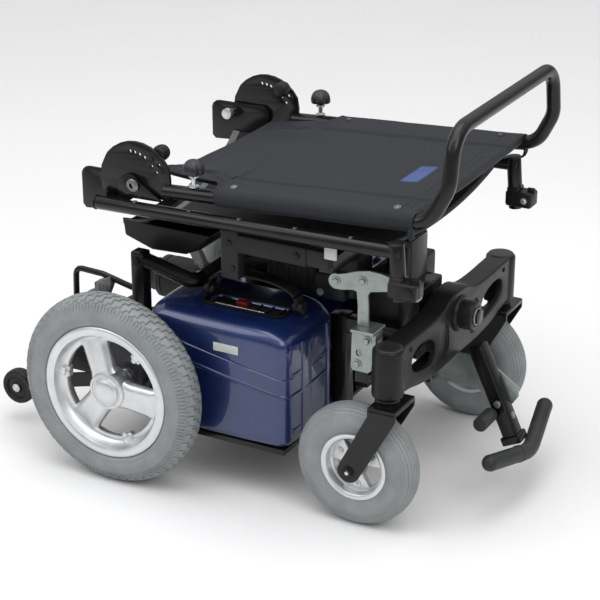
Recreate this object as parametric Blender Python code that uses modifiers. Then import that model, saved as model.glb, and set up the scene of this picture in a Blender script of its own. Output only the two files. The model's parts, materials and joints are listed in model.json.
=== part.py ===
"""Power wheelchair with its backrest folded down, its armrests and leg rests off.

It faces -Y and stands on Z = 0, and its right side is at -X. Units are metres.
"""

import math

import bmesh
import bpy
from mathutils import Matrix, Vector

# Driving dimensions
GAP = 0.0003
TYRE_RADIUS = 0.159
TYRE_WIDTH = 0.057
WHEEL_X = 0.2715
RIM_RADIUS = 0.1125
CASTOR_RADIUS = 0.100
CASTOR_WIDTH = 0.050
CASTOR_RIM_RADIUS = 0.0555
SWIVEL_X = 0.212
SWIVEL_Y = -0.453
CASTOR_Y = -0.406
BEAM_Z = 0.264
BEAM_PIVOT_Z = 0.281
SEAT_RAIL_X = 0.2195
SEAT_RAIL_RADIUS = 0.011
SLING_WIDTH = 0.389
SEAT_REAR = (0.051, 0.445)
SEAT_FRONT = (-0.474, 0.459)
BACK_X = 0.205
BACK_PIVOT = (-0.006, 0.478)
BACK_TUBE_RADIUS = 0.011
PUSH_BAR_Y = -0.536
PUSH_BAR_Z = 0.640
CASE_INNER_X = 0.062
CASE_OUTER_X = 0.224
CASE_FRONT_Y = -0.287
CASE_REAR_Y = -0.034
CASE_BOTTOM_Z = 0.094
CASE_TOP_Z = 0.290
WALL = 0.004
KERB_PIVOT = (-0.548, 0.1445)
ANTITIP = (0.180, 0.2535, 0.065)
SIDES = (("right", -1), ("left", 1))

COLOURS = {
    "black_frame": ((0.018, 0.018, 0.020), 0.42, 0.0),
    "grey_steel": ((0.060, 0.061, 0.064), 0.45, 0.2),
    "zinc": ((0.42, 0.46, 0.44), 0.38, 0.9),
    "blue_gloss": ((0.012, 0.030, 0.160), 0.18, 0.3),
    "black_plastic": ((0.020, 0.020, 0.022), 0.50, 0.0),
    "grey_plastic": ((0.16, 0.165, 0.17), 0.55, 0.0),
    "tyre_grey": ((0.30, 0.32, 0.33), 0.75, 0.0),
    "rim_silver": ((0.72, 0.73, 0.74), 0.30, 0.9),
    "steel": ((0.55, 0.56, 0.57), 0.30, 1.0),
    "nylon": ((0.050, 0.055, 0.062), 0.65, 0.0),
    "foot_rubber": ((0.035, 0.038, 0.036), 0.60, 0.0),
    "dark_cast": ((0.10, 0.10, 0.105), 0.50, 0.6),
}

collections = {}
materials = {}


def clear_scene():
    for obj in list(bpy.data.objects):
        bpy.data.objects.remove(obj, do_unlink=True)


def make_collection(name, hidden=False):
    group = bpy.data.collections.new(name)
    bpy.context.scene.collection.children.link(group)
    group.hide_render = hidden
    collections[name] = group
    return group


def make_materials():
    for name, (colour, roughness, metallic) in COLOURS.items():
        material = bpy.data.materials.new(name)
        material.use_nodes = True
        shader = material.node_tree.nodes["Principled BSDF"]
        shader.inputs["Base Color"].default_value = (*colour, 1.0)
        shader.inputs["Roughness"].default_value = roughness
        shader.inputs["Metallic"].default_value = metallic
        materials[name] = material


def add_object(name, data, material):
    obj = bpy.data.objects.new(name, data)
    if material:
        data.materials.clear()
        data.materials.append(materials[material])
    collections["power_wheelchair"].objects.link(obj)
    return obj


def from_bmesh(name, work, material, smooth=False):
    bmesh.ops.recalc_face_normals(work, faces=work.faces)
    mesh = bpy.data.meshes.new(name)
    work.to_mesh(mesh)
    work.free()
    if smooth:
        mesh.shade_smooth()
        mesh.set_sharp_from_angle(angle=math.radians(35))
    return add_object(name, mesh, material)


def to_mesh(obj, smooth=False):
    """Replaces a curve, or an object with modifiers, by a welded mesh in world space."""
    bpy.context.view_layer.update()
    graph = bpy.context.evaluated_depsgraph_get()
    mesh = bpy.data.meshes.new_from_object(obj.evaluated_get(graph))
    mesh.transform(obj.matrix_world)
    work = bmesh.new()
    work.from_mesh(mesh)
    bmesh.ops.remove_doubles(work, verts=work.verts, dist=0.00002)
    bmesh.ops.recalc_face_normals(work, faces=work.faces)
    work.to_mesh(mesh)
    work.free()
    name = obj.name
    bpy.data.objects.remove(obj, do_unlink=True)
    if smooth:
        mesh.shade_smooth()
        mesh.set_sharp_from_angle(angle=math.radians(35))
    result = bpy.data.objects.new(name, mesh)
    collections["power_wheelchair"].objects.link(result)
    return result


def box(name, low, high, material, bevel=0.0):
    """An upright block between two corners, with its edges rounded by bevel."""
    work = bmesh.new()
    size = Vector(high) - Vector(low)
    centre = (Vector(high) + Vector(low)) / 2
    place = Matrix.Translation(centre) @ Matrix.Diagonal((*size, 1.0))
    bmesh.ops.create_cube(work, size=1.0, matrix=place)
    if bevel:
        bmesh.ops.bevel(
            work, geom=work.edges[:], offset=bevel, segments=2, profile=0.5, affect="EDGES"
        )
    return from_bmesh(name, work, material, smooth=bevel > 0)


def rod(name, start, end, radius, material, segments=20, radius_end=None):
    """A round bar from start to end."""
    start, end = Vector(start), Vector(end)
    turn = (end - start).to_track_quat("Z", "Y").to_matrix().to_4x4()
    work = bmesh.new()
    bmesh.ops.create_cone(
        work,
        cap_ends=True,
        segments=segments,
        radius1=radius,
        radius2=radius if radius_end is None else radius_end,
        depth=(end - start).length,
        matrix=Matrix.Translation((start + end) / 2) @ turn,
    )
    return from_bmesh(name, work, material, smooth=True)


def bar(name, start, end, width, height, material, across=(1, 0, 0)):
    """A rectangular bar from start to end, with its width along across."""
    start, end = Vector(start), Vector(end)
    along = (end - start).normalized()
    side = Vector(across).normalized()
    up = along.cross(side).normalized()
    turn = Matrix((side, up, along)).transposed().to_4x4()
    size = Matrix.Diagonal((width, height, (end - start).length, 1.0))
    work = bmesh.new()
    bmesh.ops.create_cube(work, size=1.0, matrix=Matrix.Translation((start + end) / 2) @ turn @ size)
    return from_bmesh(name, work, material)


def turned(name, profile, material, place, segments=36):
    """A closed profile of (radius, height) points, turned about local Z with a Screw."""
    mesh = bpy.data.meshes.new(name)
    points = [(radius, 0.0, height) for radius, height in profile]
    edges = [(index, (index + 1) % len(points)) for index in range(len(points))]
    edges = [pair for pair in edges if profile[pair[0]][0] or profile[pair[1]][0]]
    mesh.from_pydata(points, edges, [])
    obj = add_object(name, mesh, material)
    screw = obj.modifiers.new("Screw", "SCREW")
    screw.steps = screw.render_steps = segments
    screw.use_merge_vertices = True
    screw.merge_threshold = 0.00005
    obj.matrix_world = place
    result = to_mesh(obj, smooth=True)
    return result


def across(x, y, z, side=1):
    """Places local Z along X, towards the side given."""
    return Matrix.Translation((x, y, z)) @ Matrix.Rotation(side * math.pi / 2, 4, "Y")


def spline(curve, points, cyclic):
    line = curve.splines.new("POLY")
    line.points.add(len(points) - 1)
    for point, place in zip(line.points, points):
        point.co = (*place, 1.0) if len(place) == 3 else (*place, 0.0, 1.0)
    line.use_cyclic_u = cyclic
    return line


def side_plate(name, outline, thickness, x, material, holes=()):
    """A flat plate in the YZ plane at x, from an outline of (y, z) points and round holes."""
    curve = bpy.data.curves.new(name, "CURVE")
    curve.dimensions = "2D"
    curve.fill_mode = "BOTH"
    curve.extrude = thickness / 2
    spline(curve, outline, True)
    for centre_y, centre_z, radius, sides in holes:
        spline(curve, arc((centre_y, centre_z), radius, 0, 360 - 360 / sides, sides), True)
    obj = add_object(name, curve, material)
    turn = Matrix(((0, 0, 1, x), (1, 0, 0, 0), (0, 1, 0, 0), (0, 0, 0, 1)))
    obj.matrix_world = turn
    return to_mesh(obj)


def arc(centre, radius, start, end, count):
    """Points along an arc, its angles in degrees counted from the first axis."""
    steps = [start + (end - start) * index / (count - 1) for index in range(count)]
    return [
        (
            centre[0] + radius * math.cos(math.radians(step)),
            centre[1] + radius * math.sin(math.radians(step)),
        )
        for step in steps
    ]


def tube(name, points, radius, material, sides=3):
    """A bent round tube with closed ends."""
    curve = bpy.data.curves.new(name, "CURVE")
    curve.dimensions = "3D"
    curve.bevel_depth = radius
    curve.bevel_resolution = sides
    curve.use_fill_caps = True
    spline(curve, points, False)
    return to_mesh(add_object(name, curve, material), smooth=True)


def bend(points, radius, count=6):
    """Replaces each inner corner of a route by an arc of the radius given."""
    route = [Vector(points[0])]
    for before, corner, after in zip(points, points[1:], points[2:]):
        before, corner, after = Vector(before), Vector(corner), Vector(after)
        one, two = (before - corner).normalized(), (after - corner).normalized()
        half = one.angle(two) / 2
        reach = radius / math.tan(half)
        centre = corner + (one + two).normalized() * radius / math.sin(half)
        first, last = corner + one * reach - centre, corner + two * reach - centre
        for index in range(count):
            step = first.slerp(last, index / (count - 1))
            route.append(centre + step.normalized() * radius)
    route.append(Vector(points[-1]))
    return [tuple(point) for point in route]


def combine(base, others, operation):
    """Joins others to base, or cuts them from it, and keeps them as hidden guides."""
    for other in others:
        collections["power_wheelchair"].objects.unlink(other)
        collections["cutters"].objects.link(other)
        other.hide_render = True
        other.display_type = "WIRE"
        step = base.modifiers.new(other.name, "BOOLEAN")
        step.operation = operation
        step.object = other
    return base


def join(base, *others):
    return combine(base, others, "UNION")


def cut(base, *others):
    return combine(base, others, "DIFFERENCE")


def joint_empty(name, place):
    empty = bpy.data.objects.new(name, None)
    empty.empty_display_size = 0.03
    empty.location = place
    collections["power_wheelchair"].objects.link(empty)
    bpy.context.view_layer.update()
    return empty


def attach(empty, *objects):
    for obj in objects:
        obj.parent = empty
        obj.matrix_parent_inverse = empty.matrix_world.inverted()


def make_chassis():
    """Lower frame: two spine rails, the battery trays, the front tower and the motor cross."""
    frame = box("chassis_frame", (-0.058, -0.302, 0.100), (-0.026, 0.10, 0.140), "black_frame")
    join(
        frame,
        box("spine_left", (0.026, -0.302, 0.100), (0.058, 0.10, 0.140), None),
        box("riser_right", (-0.058, -0.304, 0.104), (-0.032, -0.276, 0.262), None),
        box("riser_left", (0.032, -0.304, 0.104), (0.058, -0.276, 0.262), None),
        box("upper_rail_right", (-0.056, -0.400, 0.232), (-0.034, -0.280, 0.258), None),
        box("upper_rail_left", (0.034, -0.326, 0.232), (0.056, -0.280, 0.258), None),
        box("seat_cross_member", (GAP - 0.1795, -0.343, 0.385), (0.1795 - GAP, -0.319, 0.410), None),
        box("seat_link", (-0.030, -0.400, 0.386), (0.030, -0.321, 0.398), None),
        box("seat_column", (-0.029, -0.402, 0.300), (0.029, -0.3895, 0.396), None),
        box("kerb_mount", (0.006, -0.424, 0.146), (0.032, -0.402, 0.215), None),
        box("battery_tray", (-0.222, -0.282, 0.084), (0.222, -0.040, 0.0925), None),
        box("tray_web_right", (-0.054, -0.280, 0.0900), (-0.030, -0.044, 0.105), None),
        box("tray_web_left", (0.030, -0.280, 0.0900), (0.054, -0.044, 0.105), None),
        box("front_tower", (-0.044, -0.424, 0.206), (0.044, -0.388, 0.322), None, 0.004),
        box("front_crossbar", (-0.196, -0.412, 0.226), (0.040, -0.390, 0.246), None),
        box("motor_cross", (-0.1265, 0.052, 0.108), (0.1265, 0.092, 0.134), None),
        box("rear_mast_right", (-0.054, -0.092, 0.13), (-0.034, -0.068, 0.294), None),
        box("rear_mast_left", (0.034, -0.092, 0.13), (0.054, -0.068, 0.294), None),
        box("mast_foot", (-0.054, -0.092, 0.125), (0.054, -0.068, 0.139), None),
        rod("pivot_collar", (0, -0.422, BEAM_PIVOT_Z), (0, -0.4335, BEAM_PIVOT_Z), 0.020, None, 24),
    )
    bolt = rod("pivot_bolt", (0, -0.420, BEAM_PIVOT_Z), (0, -0.504, BEAM_PIVOT_Z), 0.0095, None, 24)
    head = rod("pivot_head", (0, -0.5025, BEAM_PIVOT_Z), (0, -0.5085, BEAM_PIVOT_Z), 0.0135, None, 6)
    join(frame, bolt, head)


def make_rear_frame():
    """Grey cross tube over the batteries, and on each side a brace and an upright bracket."""
    rod("rear_cross_tube", (-0.118, -0.078, 0.3075), (0.118, -0.078, 0.3075), 0.0125, "grey_steel", 20)
    for name, side in SIDES:
        x = side * 0.145
        brace = tube(
            f"rear_brace_{name}",
            bend([(x, 0.022, 0.331), (x, -0.078, 0.3075), (side * (0.118 + GAP), -0.078, 0.3075)], 0.018),
            0.0125,
            None,
        )
        upright = box(
            f"rear_upright_{name}",
            (min(side * 0.134, side * 0.158), 0.010, 0.2045),
            (max(side * 0.134, side * 0.158), 0.034, 0.344),
            "black_frame",
            0.003,
        )
        loop = bend([(x, 0.024, 0.272), (x, 0.098, 0.288), (x, 0.150, 0.290), (x, 0.152, 0.232)], 0.012, 4)
        join(upright, brace, tube(f"guard_loop_{name}", loop, 0.0052, None, 2))


def make_batteries():
    """On each side an open case with its battery, a lid with a handle recess, and a handle."""
    for name, side in SIDES:
        low_x = min(side * CASE_INNER_X, side * CASE_OUTER_X)
        high_x = max(side * CASE_INNER_X, side * CASE_OUTER_X)
        middle = (low_x + high_x) / 2
        seam_rear, seam_front = 0.224, 0.180
        outer = box(
            f"outer_{name}", (low_x, CASE_FRONT_Y, CASE_BOTTOM_Z), (high_x, CASE_REAR_Y, CASE_TOP_Z),
            "blue_gloss", 0.016,
        )
        case = outer.copy()
        case.data = outer.data.copy()
        collections["power_wheelchair"].objects.link(case)
        case.name = f"battery_case_{name}"
        lid = outer
        lid.name = f"battery_lid_{name}"
        inner = box(
            f"inner_{name}",
            (low_x + WALL, CASE_FRONT_Y + WALL, CASE_BOTTOM_Z + WALL),
            (high_x - WALL, CASE_REAR_Y - WALL, CASE_TOP_Z - WALL),
            None, 0.010,
        )
        inner_lid = inner.copy()
        inner_lid.data = inner.data.copy()
        inner_lid.name = f"inner_lid_{name}"
        collections["power_wheelchair"].objects.link(inner_lid)
        above = seam_block(f"above_{name}", middle, seam_rear, seam_front, 0.0, 0.3)
        below = seam_block(f"below_{name}", middle, seam_rear, seam_front, -0.3, GAP)
        recess = box(
            f"recess_{name}", (middle - 0.026, -0.232, 0.268), (middle + 0.026, -0.104, 0.300), None, 0.004
        )
        cut(case, inner, above)
        floor = box(
            f"recess_floor_{name}", (middle - 0.030, -0.236, 0.264), (middle + 0.030, -0.100, 0.2875), None
        )
        cut(lid, inner_lid)
        join(lid, floor)
        cut(lid, recess, below)
        box(
            f"battery_{name}",
            (low_x + WALL + 0.004, CASE_FRONT_Y + 0.012, CASE_BOTTOM_Z + WALL + GAP),
            (high_x - WALL - 0.004, CASE_REAR_Y - 0.012, CASE_BOTTOM_Z + 0.080),
            "black_plastic", 0.008,
        )
        make_handle(name, middle)


def seam_block(name, middle, rear_z, front_z, low, high):
    """A block bounded by the sloping seam between the case and the lid."""
    work = bmesh.new()
    bmesh.ops.create_cube(work, size=1.0)
    for vert in work.verts:
        front = vert.co.y < 0
        seam = front_z if front else rear_z
        reach = 0.02
        slope = (rear_z - front_z) / (CASE_REAR_Y - CASE_FRONT_Y)
        seam += -slope * reach if front else slope * reach
        top = high if vert.co.z > 0 else low
        vert.co.x = middle + (0.1 if vert.co.x > 0 else -0.1)
        vert.co.y = CASE_FRONT_Y - reach if front else CASE_REAR_Y + reach
        vert.co.z = seam + top
    return from_bmesh(name, work, None)


def make_handle(name, middle):
    """Carrying handle: a broad flat arch on two round eyes that turn on the lid's pivots."""
    centre_y, reach, rise, base_z, eye_z = -0.187, 0.083, 0.49, 0.300, 0.3025
    route = arc((centre_y, base_z), reach, 180, 0, 13)
    points = [(middle, y, base_z + (z - base_z) * rise) for y, z in route]
    curve = bpy.data.curves.new(f"carry_handle_{name}", "CURVE")
    curve.dimensions = "3D"
    curve.extrude = 0.010
    curve.bevel_depth = 0.003
    curve.bevel_resolution = 1
    curve.use_fill_caps = True
    for point in spline(curve, points, False).points:
        point.tilt = math.pi / 2
    handle = to_mesh(add_object(f"carry_handle_{name}", curve, "black_plastic"), smooth=True)
    for label, y in (("front", centre_y - reach), ("rear", centre_y + reach)):
        ends = [(middle, y + half, eye_z) for half in (-0.006, 0.006)]
        join(handle, rod(f"eye_{label}_{name}", *ends, 0.0115, None, 20))
    attach(joint_empty(f"carry_handle_axis_{name}", (middle, centre_y, eye_z)), handle)


def make_drives():
    """On each side a gearbox on the wheel's axis, a motor behind it and a freewheel lever."""
    for name, side in SIDES:
        gearbox = box(
            f"gearbox_{name}",
            (min(side * 0.127, side * 0.205), -0.0285, 0.112),
            (max(side * 0.127, side * 0.205), 0.060, 0.204),
            "dark_cast", 0.010,
        )
        join(gearbox, rod(f"axle_boss_{name}", (side * 0.19, 0, 0.159), (side * 0.226, 0, 0.159), 0.026, None, 24))
        cut(gearbox, rod(f"axle_bore_{name}", (side * 0.17, 0, 0.159), (side * 0.24, 0, 0.159), 0.0106, None, 24))
        motor = rod(f"drive_motor_{name}", (side * 0.165, 0.060 + GAP, 0.158), (side * 0.165, 0.178, 0.158), 0.0385, "black_plastic", 28)
        join(motor, rod(f"brake_cap_{name}", (side * 0.165, 0.177, 0.158), (side * 0.165, 0.198, 0.158), 0.030, None, 24))
        lever = bar(f"freewheel_lever_{name}", (side * 0.147, 0.089, 0.206), (side * 0.147, 0.117, 0.258), 0.012, 0.020, "grey_plastic")
        pivot = (side * 0.147, 0.085, 0.204)
        join(lever, rod(f"lever_hub_{name}", (side * 0.139, pivot[1], pivot[2]), (side * 0.155, pivot[1], pivot[2]), 0.0065, None, 16))
        attach(joint_empty(f"freewheel_axis_{name}", pivot), lever)


def make_rear_wheels():
    """On each side a tyre, a three-spoke rim, its axle and a hub cap, all on the wheel's axis."""
    half = TYRE_WIDTH / 2
    tyre_profile = [(RIM_RADIUS - 0.004, -0.017), (RIM_RADIUS, -0.0245), (0.130, -half), (0.150, -0.0235), (TYRE_RADIUS, -0.008)]
    tyre_profile += [(radius, -height) for radius, height in reversed(tyre_profile)]
    rim_edge = RIM_RADIUS - 0.0043
    rim_profile = [
        (rim_edge, 0.0235), (rim_edge - 0.009, 0.0255), (rim_edge - 0.013, 0.002),
        (0.034, 0.014), (0.030, 0.022), (0.016, 0.022), (0.016, 0.010), (0.0, 0.010),
        (0.0, -0.014), (0.034, -0.014), (rim_edge - 0.013, -0.009), (rim_edge - 0.009, -0.0235), (rim_edge, -0.0235),
        (rim_edge, -0.017), (rim_edge - 0.004, -0.012), (rim_edge - 0.004, 0.012), (rim_edge, 0.017),
    ]
    for name, side in SIDES:
        place = across(side * WHEEL_X, 0, TYRE_RADIUS, side)
        tyre = turned(f"rear_tyre_{name}", tyre_profile, "tyre_grey", place)
        rim = turned(f"rear_rim_{name}", rim_profile, "rim_silver", place)
        for index in range(3):
            cut(rim, rim_window(f"rim_window_{name}_{index}", side, 9 + 120 * index))
        axle = rod(f"drive_axle_{name}", (side * 0.172, 0, TYRE_RADIUS), (side * (WHEEL_X - 0.006), 0, TYRE_RADIUS), 0.0100, None, 24)
        join(rim, axle)
        cap = turned(
            f"hub_cap_{name}",
            [(0.0, 0.0255), (0.010, 0.0245), (0.0145, 0.021), (0.0155, 0.0105), (0.0, 0.0105)],
            "rim_silver", place, 24,
        )
        attach(joint_empty(f"rear_wheel_axis_{name}", (side * WHEEL_X, 0, TYRE_RADIUS)), tyre, rim, cap)


def rim_window(name, side, angle):
    """Cuts one of the three openings between the spokes."""
    inner = arc((0, 0), 0.044, -34, 34, 5)
    outer = arc((0, 0), 0.090, 42, -42, 9)
    turn = math.radians(angle)
    outline = [
        (y * math.cos(turn) - z * math.sin(turn), TYRE_RADIUS + y * math.sin(turn) + z * math.cos(turn))
        for y, z in inner + outer
    ]
    return side_plate(name, outline, 0.08, side * WHEEL_X, None)


def make_castor_beam():
    """Cast front beam that rocks on the tower, with a boss at each end for a castor stem."""
    low, high = BEAM_Z - 0.040, BEAM_Z + 0.040
    beam = box("castor_beam", (-0.215, -0.474, low + 0.002), (0.215, -0.4365, high), "black_plastic", 0.005)
    join(beam, rod("centre_boss", (0, -0.434, BEAM_PIVOT_Z), (0, -0.502, BEAM_PIVOT_Z), 0.022, None, 28))
    for name, side in SIDES:
        x = side * SWIVEL_X
        join(beam, rod(f"stem_boss_{name}", (x, SWIVEL_Y, low), (x, SWIVEL_Y, high - 0.001), 0.0215, None, 28))
        cut(beam, rod(f"stem_bore_{name}", (x, SWIVEL_Y, low - 0.01), (x, SWIVEL_Y, high - 0.012), 0.0116, None, 24))
        for label, inner, outer in (("outer", 0.100, 0.168), ("inner", 0.028, 0.060)):
            window = box(
                f"beam_window_{label}_{name}",
                (min(side * inner, side * outer), -0.49, low + 0.020),
                (max(side * inner, side * outer), -0.42, high - (0.019 if label == "outer" else 0.024)),
                None, 0.008,
            )
            cut(beam, window)
        dome = [(0.0, 0.0065), (0.012, 0.0055), (0.019, 0.0025), (0.0205, -0.001), (0.0, -0.001)]
        join(beam, turned(f"boss_cap_{name}", dome, None, Matrix.Translation((x, SWIVEL_Y, high - 0.001)), 28))
    cut(beam, rod("pivot_bore", (0, -0.42, BEAM_PIVOT_Z), (0, -0.51, BEAM_PIVOT_Z), 0.0101, None, 24))
    attach(joint_empty("beam_axis", (0, SWIVEL_Y, BEAM_PIVOT_Z)), beam)


def make_castors():
    """On each side a fork with its stem, an axle bolt, and a rim with its tyre."""
    low = BEAM_Z - 0.040
    half = CASTOR_WIDTH / 2
    tyre_profile = [(CASTOR_RIM_RADIUS, -0.019), (0.068, -half), (0.088, -0.0225), (CASTOR_RADIUS, -0.008)]
    tyre_profile += [(radius, -height) for radius, height in reversed(tyre_profile)]
    edge = CASTOR_RIM_RADIUS - GAP
    rim_profile = [
        (edge, 0.0185), (edge - 0.007, 0.0195), (edge - 0.010, 0.009), (0.028, 0.009),
        (0.014, 0.024), (0.0066, 0.024), (0.0066, -0.024), (0.014, -0.024), (0.028, -0.009),
        (edge - 0.010, -0.009), (edge - 0.007, -0.0195), (edge, -0.0185),
    ]
    for name, side in SIDES:
        x = side * SWIVEL_X
        fork = box(f"castor_fork_{name}", (x - 0.0355, -0.482, 0.2070), (x + 0.0355, -0.436, 0.2150), "black_frame")
        outline = [(-0.482, 0.2150), (-0.482, 0.2000)]
        outline += arc((CASTOR_Y, CASTOR_RADIUS), 0.0185, 205, 385, 11)
        outline += [(-0.436, 0.2000), (-0.436, 0.2150)]
        for label, offset in (("inner", -0.0330), ("outer", 0.0330)):
            join(fork, side_plate(f"fork_arm_{label}_{name}", outline, 0.005, x + offset, None))
        stem = rod(f"fork_stem_{name}", (x, SWIVEL_Y, 0.2100), (x, SWIVEL_Y, 0.284), 0.0110, None, 24)
        washer = rod(f"fork_washer_{name}", (x, SWIVEL_Y, 0.2140), (x, SWIVEL_Y, low - 0.0015), 0.0180, None, 24)
        join(fork, washer, stem)
        ends = [(x + reach, CASTOR_Y, CASTOR_RADIUS) for reach in (-0.0400, 0.0400, -0.0350, 0.0350)]
        join(fork, rod(f"castor_axle_{name}", ends[2], ends[3], 0.0060, None, 20))
        join(fork, rod(f"axle_head_inner_{name}", ends[0], ends[2], 0.0090, None, 6))
        join(fork, rod(f"axle_head_outer_{name}", ends[3], ends[1], 0.0090, None, 6))
        attach(joint_empty(f"swivel_axis_{name}", (x, SWIVEL_Y, low)), fork)
        place = across(x, CASTOR_Y, CASTOR_RADIUS, side)
        tyre = turned(f"castor_tyre_{name}", tyre_profile, "tyre_grey", place, 32)
        rim = turned(f"castor_rim_{name}", rim_profile, "rim_silver", place, 32)
        wheel = joint_empty(f"castor_wheel_axis_{name}", (x, CASTOR_Y, CASTOR_RADIUS))
        attach(wheel, tyre, rim)


def make_seat_supports():
    """On each side the grey post and box rail, and on the right the zinc plate and bracket ahead of them."""
    for name, side in SIDES:
        inner, outer = side * 0.1785, side * 0.2015
        low_x, high_x = min(inner, outer), max(inner, outer)
        post = box(f"seat_support_{name}", (low_x, -0.191, 0.352), (high_x, -0.161, 0.4375), "grey_steel", 0.002)
        join(post, box(f"box_rail_{name}", (low_x + 0.001, -0.345, 0.397), (high_x - 0.001, -0.170, 0.428), None, 0.002))
        if side > 0:
            continue
        x = side * 0.190
        outline = arc((-0.351, 0.381), 0.0145, -80, 90, 7)
        outline += [(-0.375, 0.4030), (-0.402, 0.4065), (-0.440, 0.4025)]
        outline += arc((-0.487, 0.386), 0.0115, 90, 265, 7)
        outline += [(-0.470, 0.3735), (-0.445, 0.366), (-0.428, 0.350), (-0.420, 0.3165)]
        outline += [(-0.396, 0.3165), (-0.391, 0.350), (-0.380, 0.364)]
        bracket = side_plate(f"front_bracket_{name}", outline, 0.005, x, "zinc")
        front, rear, foot_z, shelf_z = -0.4290, -0.3850, 0.2463, 0.3125
        shelf = box(f"folded_shelf_{name}", (x - 0.022, front, shelf_z), (x + 0.022, -0.392, 0.3195), None)
        leg = box(f"bracket_leg_{name}", (x - 0.012, front, foot_z), (x + 0.012, front + 0.005, 0.3150), None)
        web = box(f"bracket_side_{name}", (x - 0.012, front, foot_z), (x - 0.008, rear, 0.3150), None)
        foot = box(f"bracket_foot_{name}", (x - 0.012, front, foot_z), (x + 0.012, rear, 0.2510), None)
        join(bracket, shelf, leg, web, foot)


def make_seat():
    """Seat rails, sagging sling, front posts that take the leg rests, and their clamps."""
    for name, side in SIDES:
        x = side * SEAT_RAIL_X
        rail = rod(f"seat_rail_{name}", (x, *SEAT_REAR), (x, *SEAT_FRONT), SEAT_RAIL_RADIUS, "black_frame", 20)
        join(rail, rod(f"rail_plug_{name}", (x, SEAT_REAR[0] - 0.002, SEAT_REAR[1]), (x, SEAT_REAR[0] + 0.004, SEAT_REAR[1]), 0.0114, None, 20))
        join(rail, rod(f"front_post_{name}", (x, -0.4650, 0.4715), (x, -0.4725, 0.3850), 0.0118, None, 20))
        clamp = box(f"hanger_clamp_{name}", (x - 0.016, -0.504, 0.391), (x + 0.016, -0.4585, 0.417), "black_plastic", 0.003)
        cut(clamp, rod(f"clamp_bore_{name}", (x, -0.4650, 0.4715), (x, -0.4725, 0.3850), 0.0118 + GAP, None, 20))
    make_sling()


def make_sling():
    """Seat sling: one closed sheet that hangs between the rails."""
    half = SLING_WIDTH / 2
    work = bmesh.new()
    columns, rows, thickness = 14, 6, 0.004
    rear, front = 0.045, -0.440
    grid = {}
    for row in range(rows + 1):
        y = rear + (front - rear) * row / rows
        base = SEAT_REAR[1] + (SEAT_FRONT[1] - SEAT_REAR[1]) * row / rows + 0.004
        depth = 0.080 * (1 - 0.75 * (row / rows) ** 0.8)
        for column in range(columns + 1):
            x = -half + 2 * half * column / columns
            z = base - depth * (1 - (x / half) ** 2) ** 0.8
            grid[row, column] = work.verts.new((x, y, z))
    for row in range(rows):
        for column in range(columns):
            work.faces.new((grid[row, column], grid[row + 1, column], grid[row + 1, column + 1], grid[row, column + 1]))
    sling = from_bmesh("seat_sling", work, "nylon", smooth=True)
    shell = sling.modifiers.new("Solidify", "SOLIDIFY")
    shell.thickness = thickness
    shell.offset = 0.0


def make_backrest():
    """Folded backrest: recline plates, one bent tube with its push bar, cover and knobs."""
    y0, z0 = BACK_PIVOT
    hinge = joint_empty("backrest_axis", (0, y0, z0))
    side_x = BACK_X
    lean = side_x - 0.019
    route = [
        (-side_x, -0.0805, 0.4795), (-side_x, -0.508, 0.5045),
        (0.004 - side_x, PUSH_BAR_Y, 0.560), (-lean, PUSH_BAR_Y, PUSH_BAR_Z),
    ]
    route += [(-x, y, z) for x, y, z in reversed(route)]
    frame = tube("back_frame", bend(route, 0.034, 6), BACK_TUBE_RADIUS, "black_frame")
    attach(hinge, frame)
    cover = box("back_cover", (-0.1925, -0.500, 0.4935), (0.1925, -0.045, 0.5035), "nylon")
    tilt = Matrix.Translation((0, -0.29, 0.492)) @ Matrix.Rotation(-math.radians(3.35), 4, "X") @ Matrix.Translation((0, 0.29, -0.492))
    cover.data.transform(tilt)
    attach(hinge, cover)
    for name, side in SIDES:
        x = side * side_x
        outline = [(-0.0770, 0.4635), (0.020, 0.4635)]
        outline += arc((-0.014, 0.4845), 0.0640, 340, 395, 4)
        outline += arc((-0.016, 0.4830), 0.0670, 40, 150, 10)
        outline += [(-0.077, 0.500)]
        holes = [(y0, z0, 0.0086, 20)]
        for angle in (90, 99, 108, 118):
            holes.append((y0 + 0.0555 * math.cos(math.radians(angle)), z0 + 0.0555 * math.sin(math.radians(angle)), 0.0030, 10))
        for y, z in ((-0.045, 0.515), (-0.053, 0.506), (-0.058, 0.519)):
            holes.append((y, z, 0.0026, 10))
        plate = side_plate(f"recline_plate_{name}", outline, 0.005, x, "black_frame", holes)
        attach(hinge, plate)
        make_recline_fixings(name, side)
        make_star_knob(name, side, hinge)
        knob = rod(f"tension_knob_{name}", (side * 0.2015, -0.052, 0.533), (side * 0.180, -0.052, 0.533), 0.0125, "black_plastic", 20)
        knob_axis = joint_empty(f"tension_knob_axis_{name}", (side * 0.19, -0.052, 0.533))
        attach(hinge, knob_axis)
        attach(knob_axis, knob)


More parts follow.
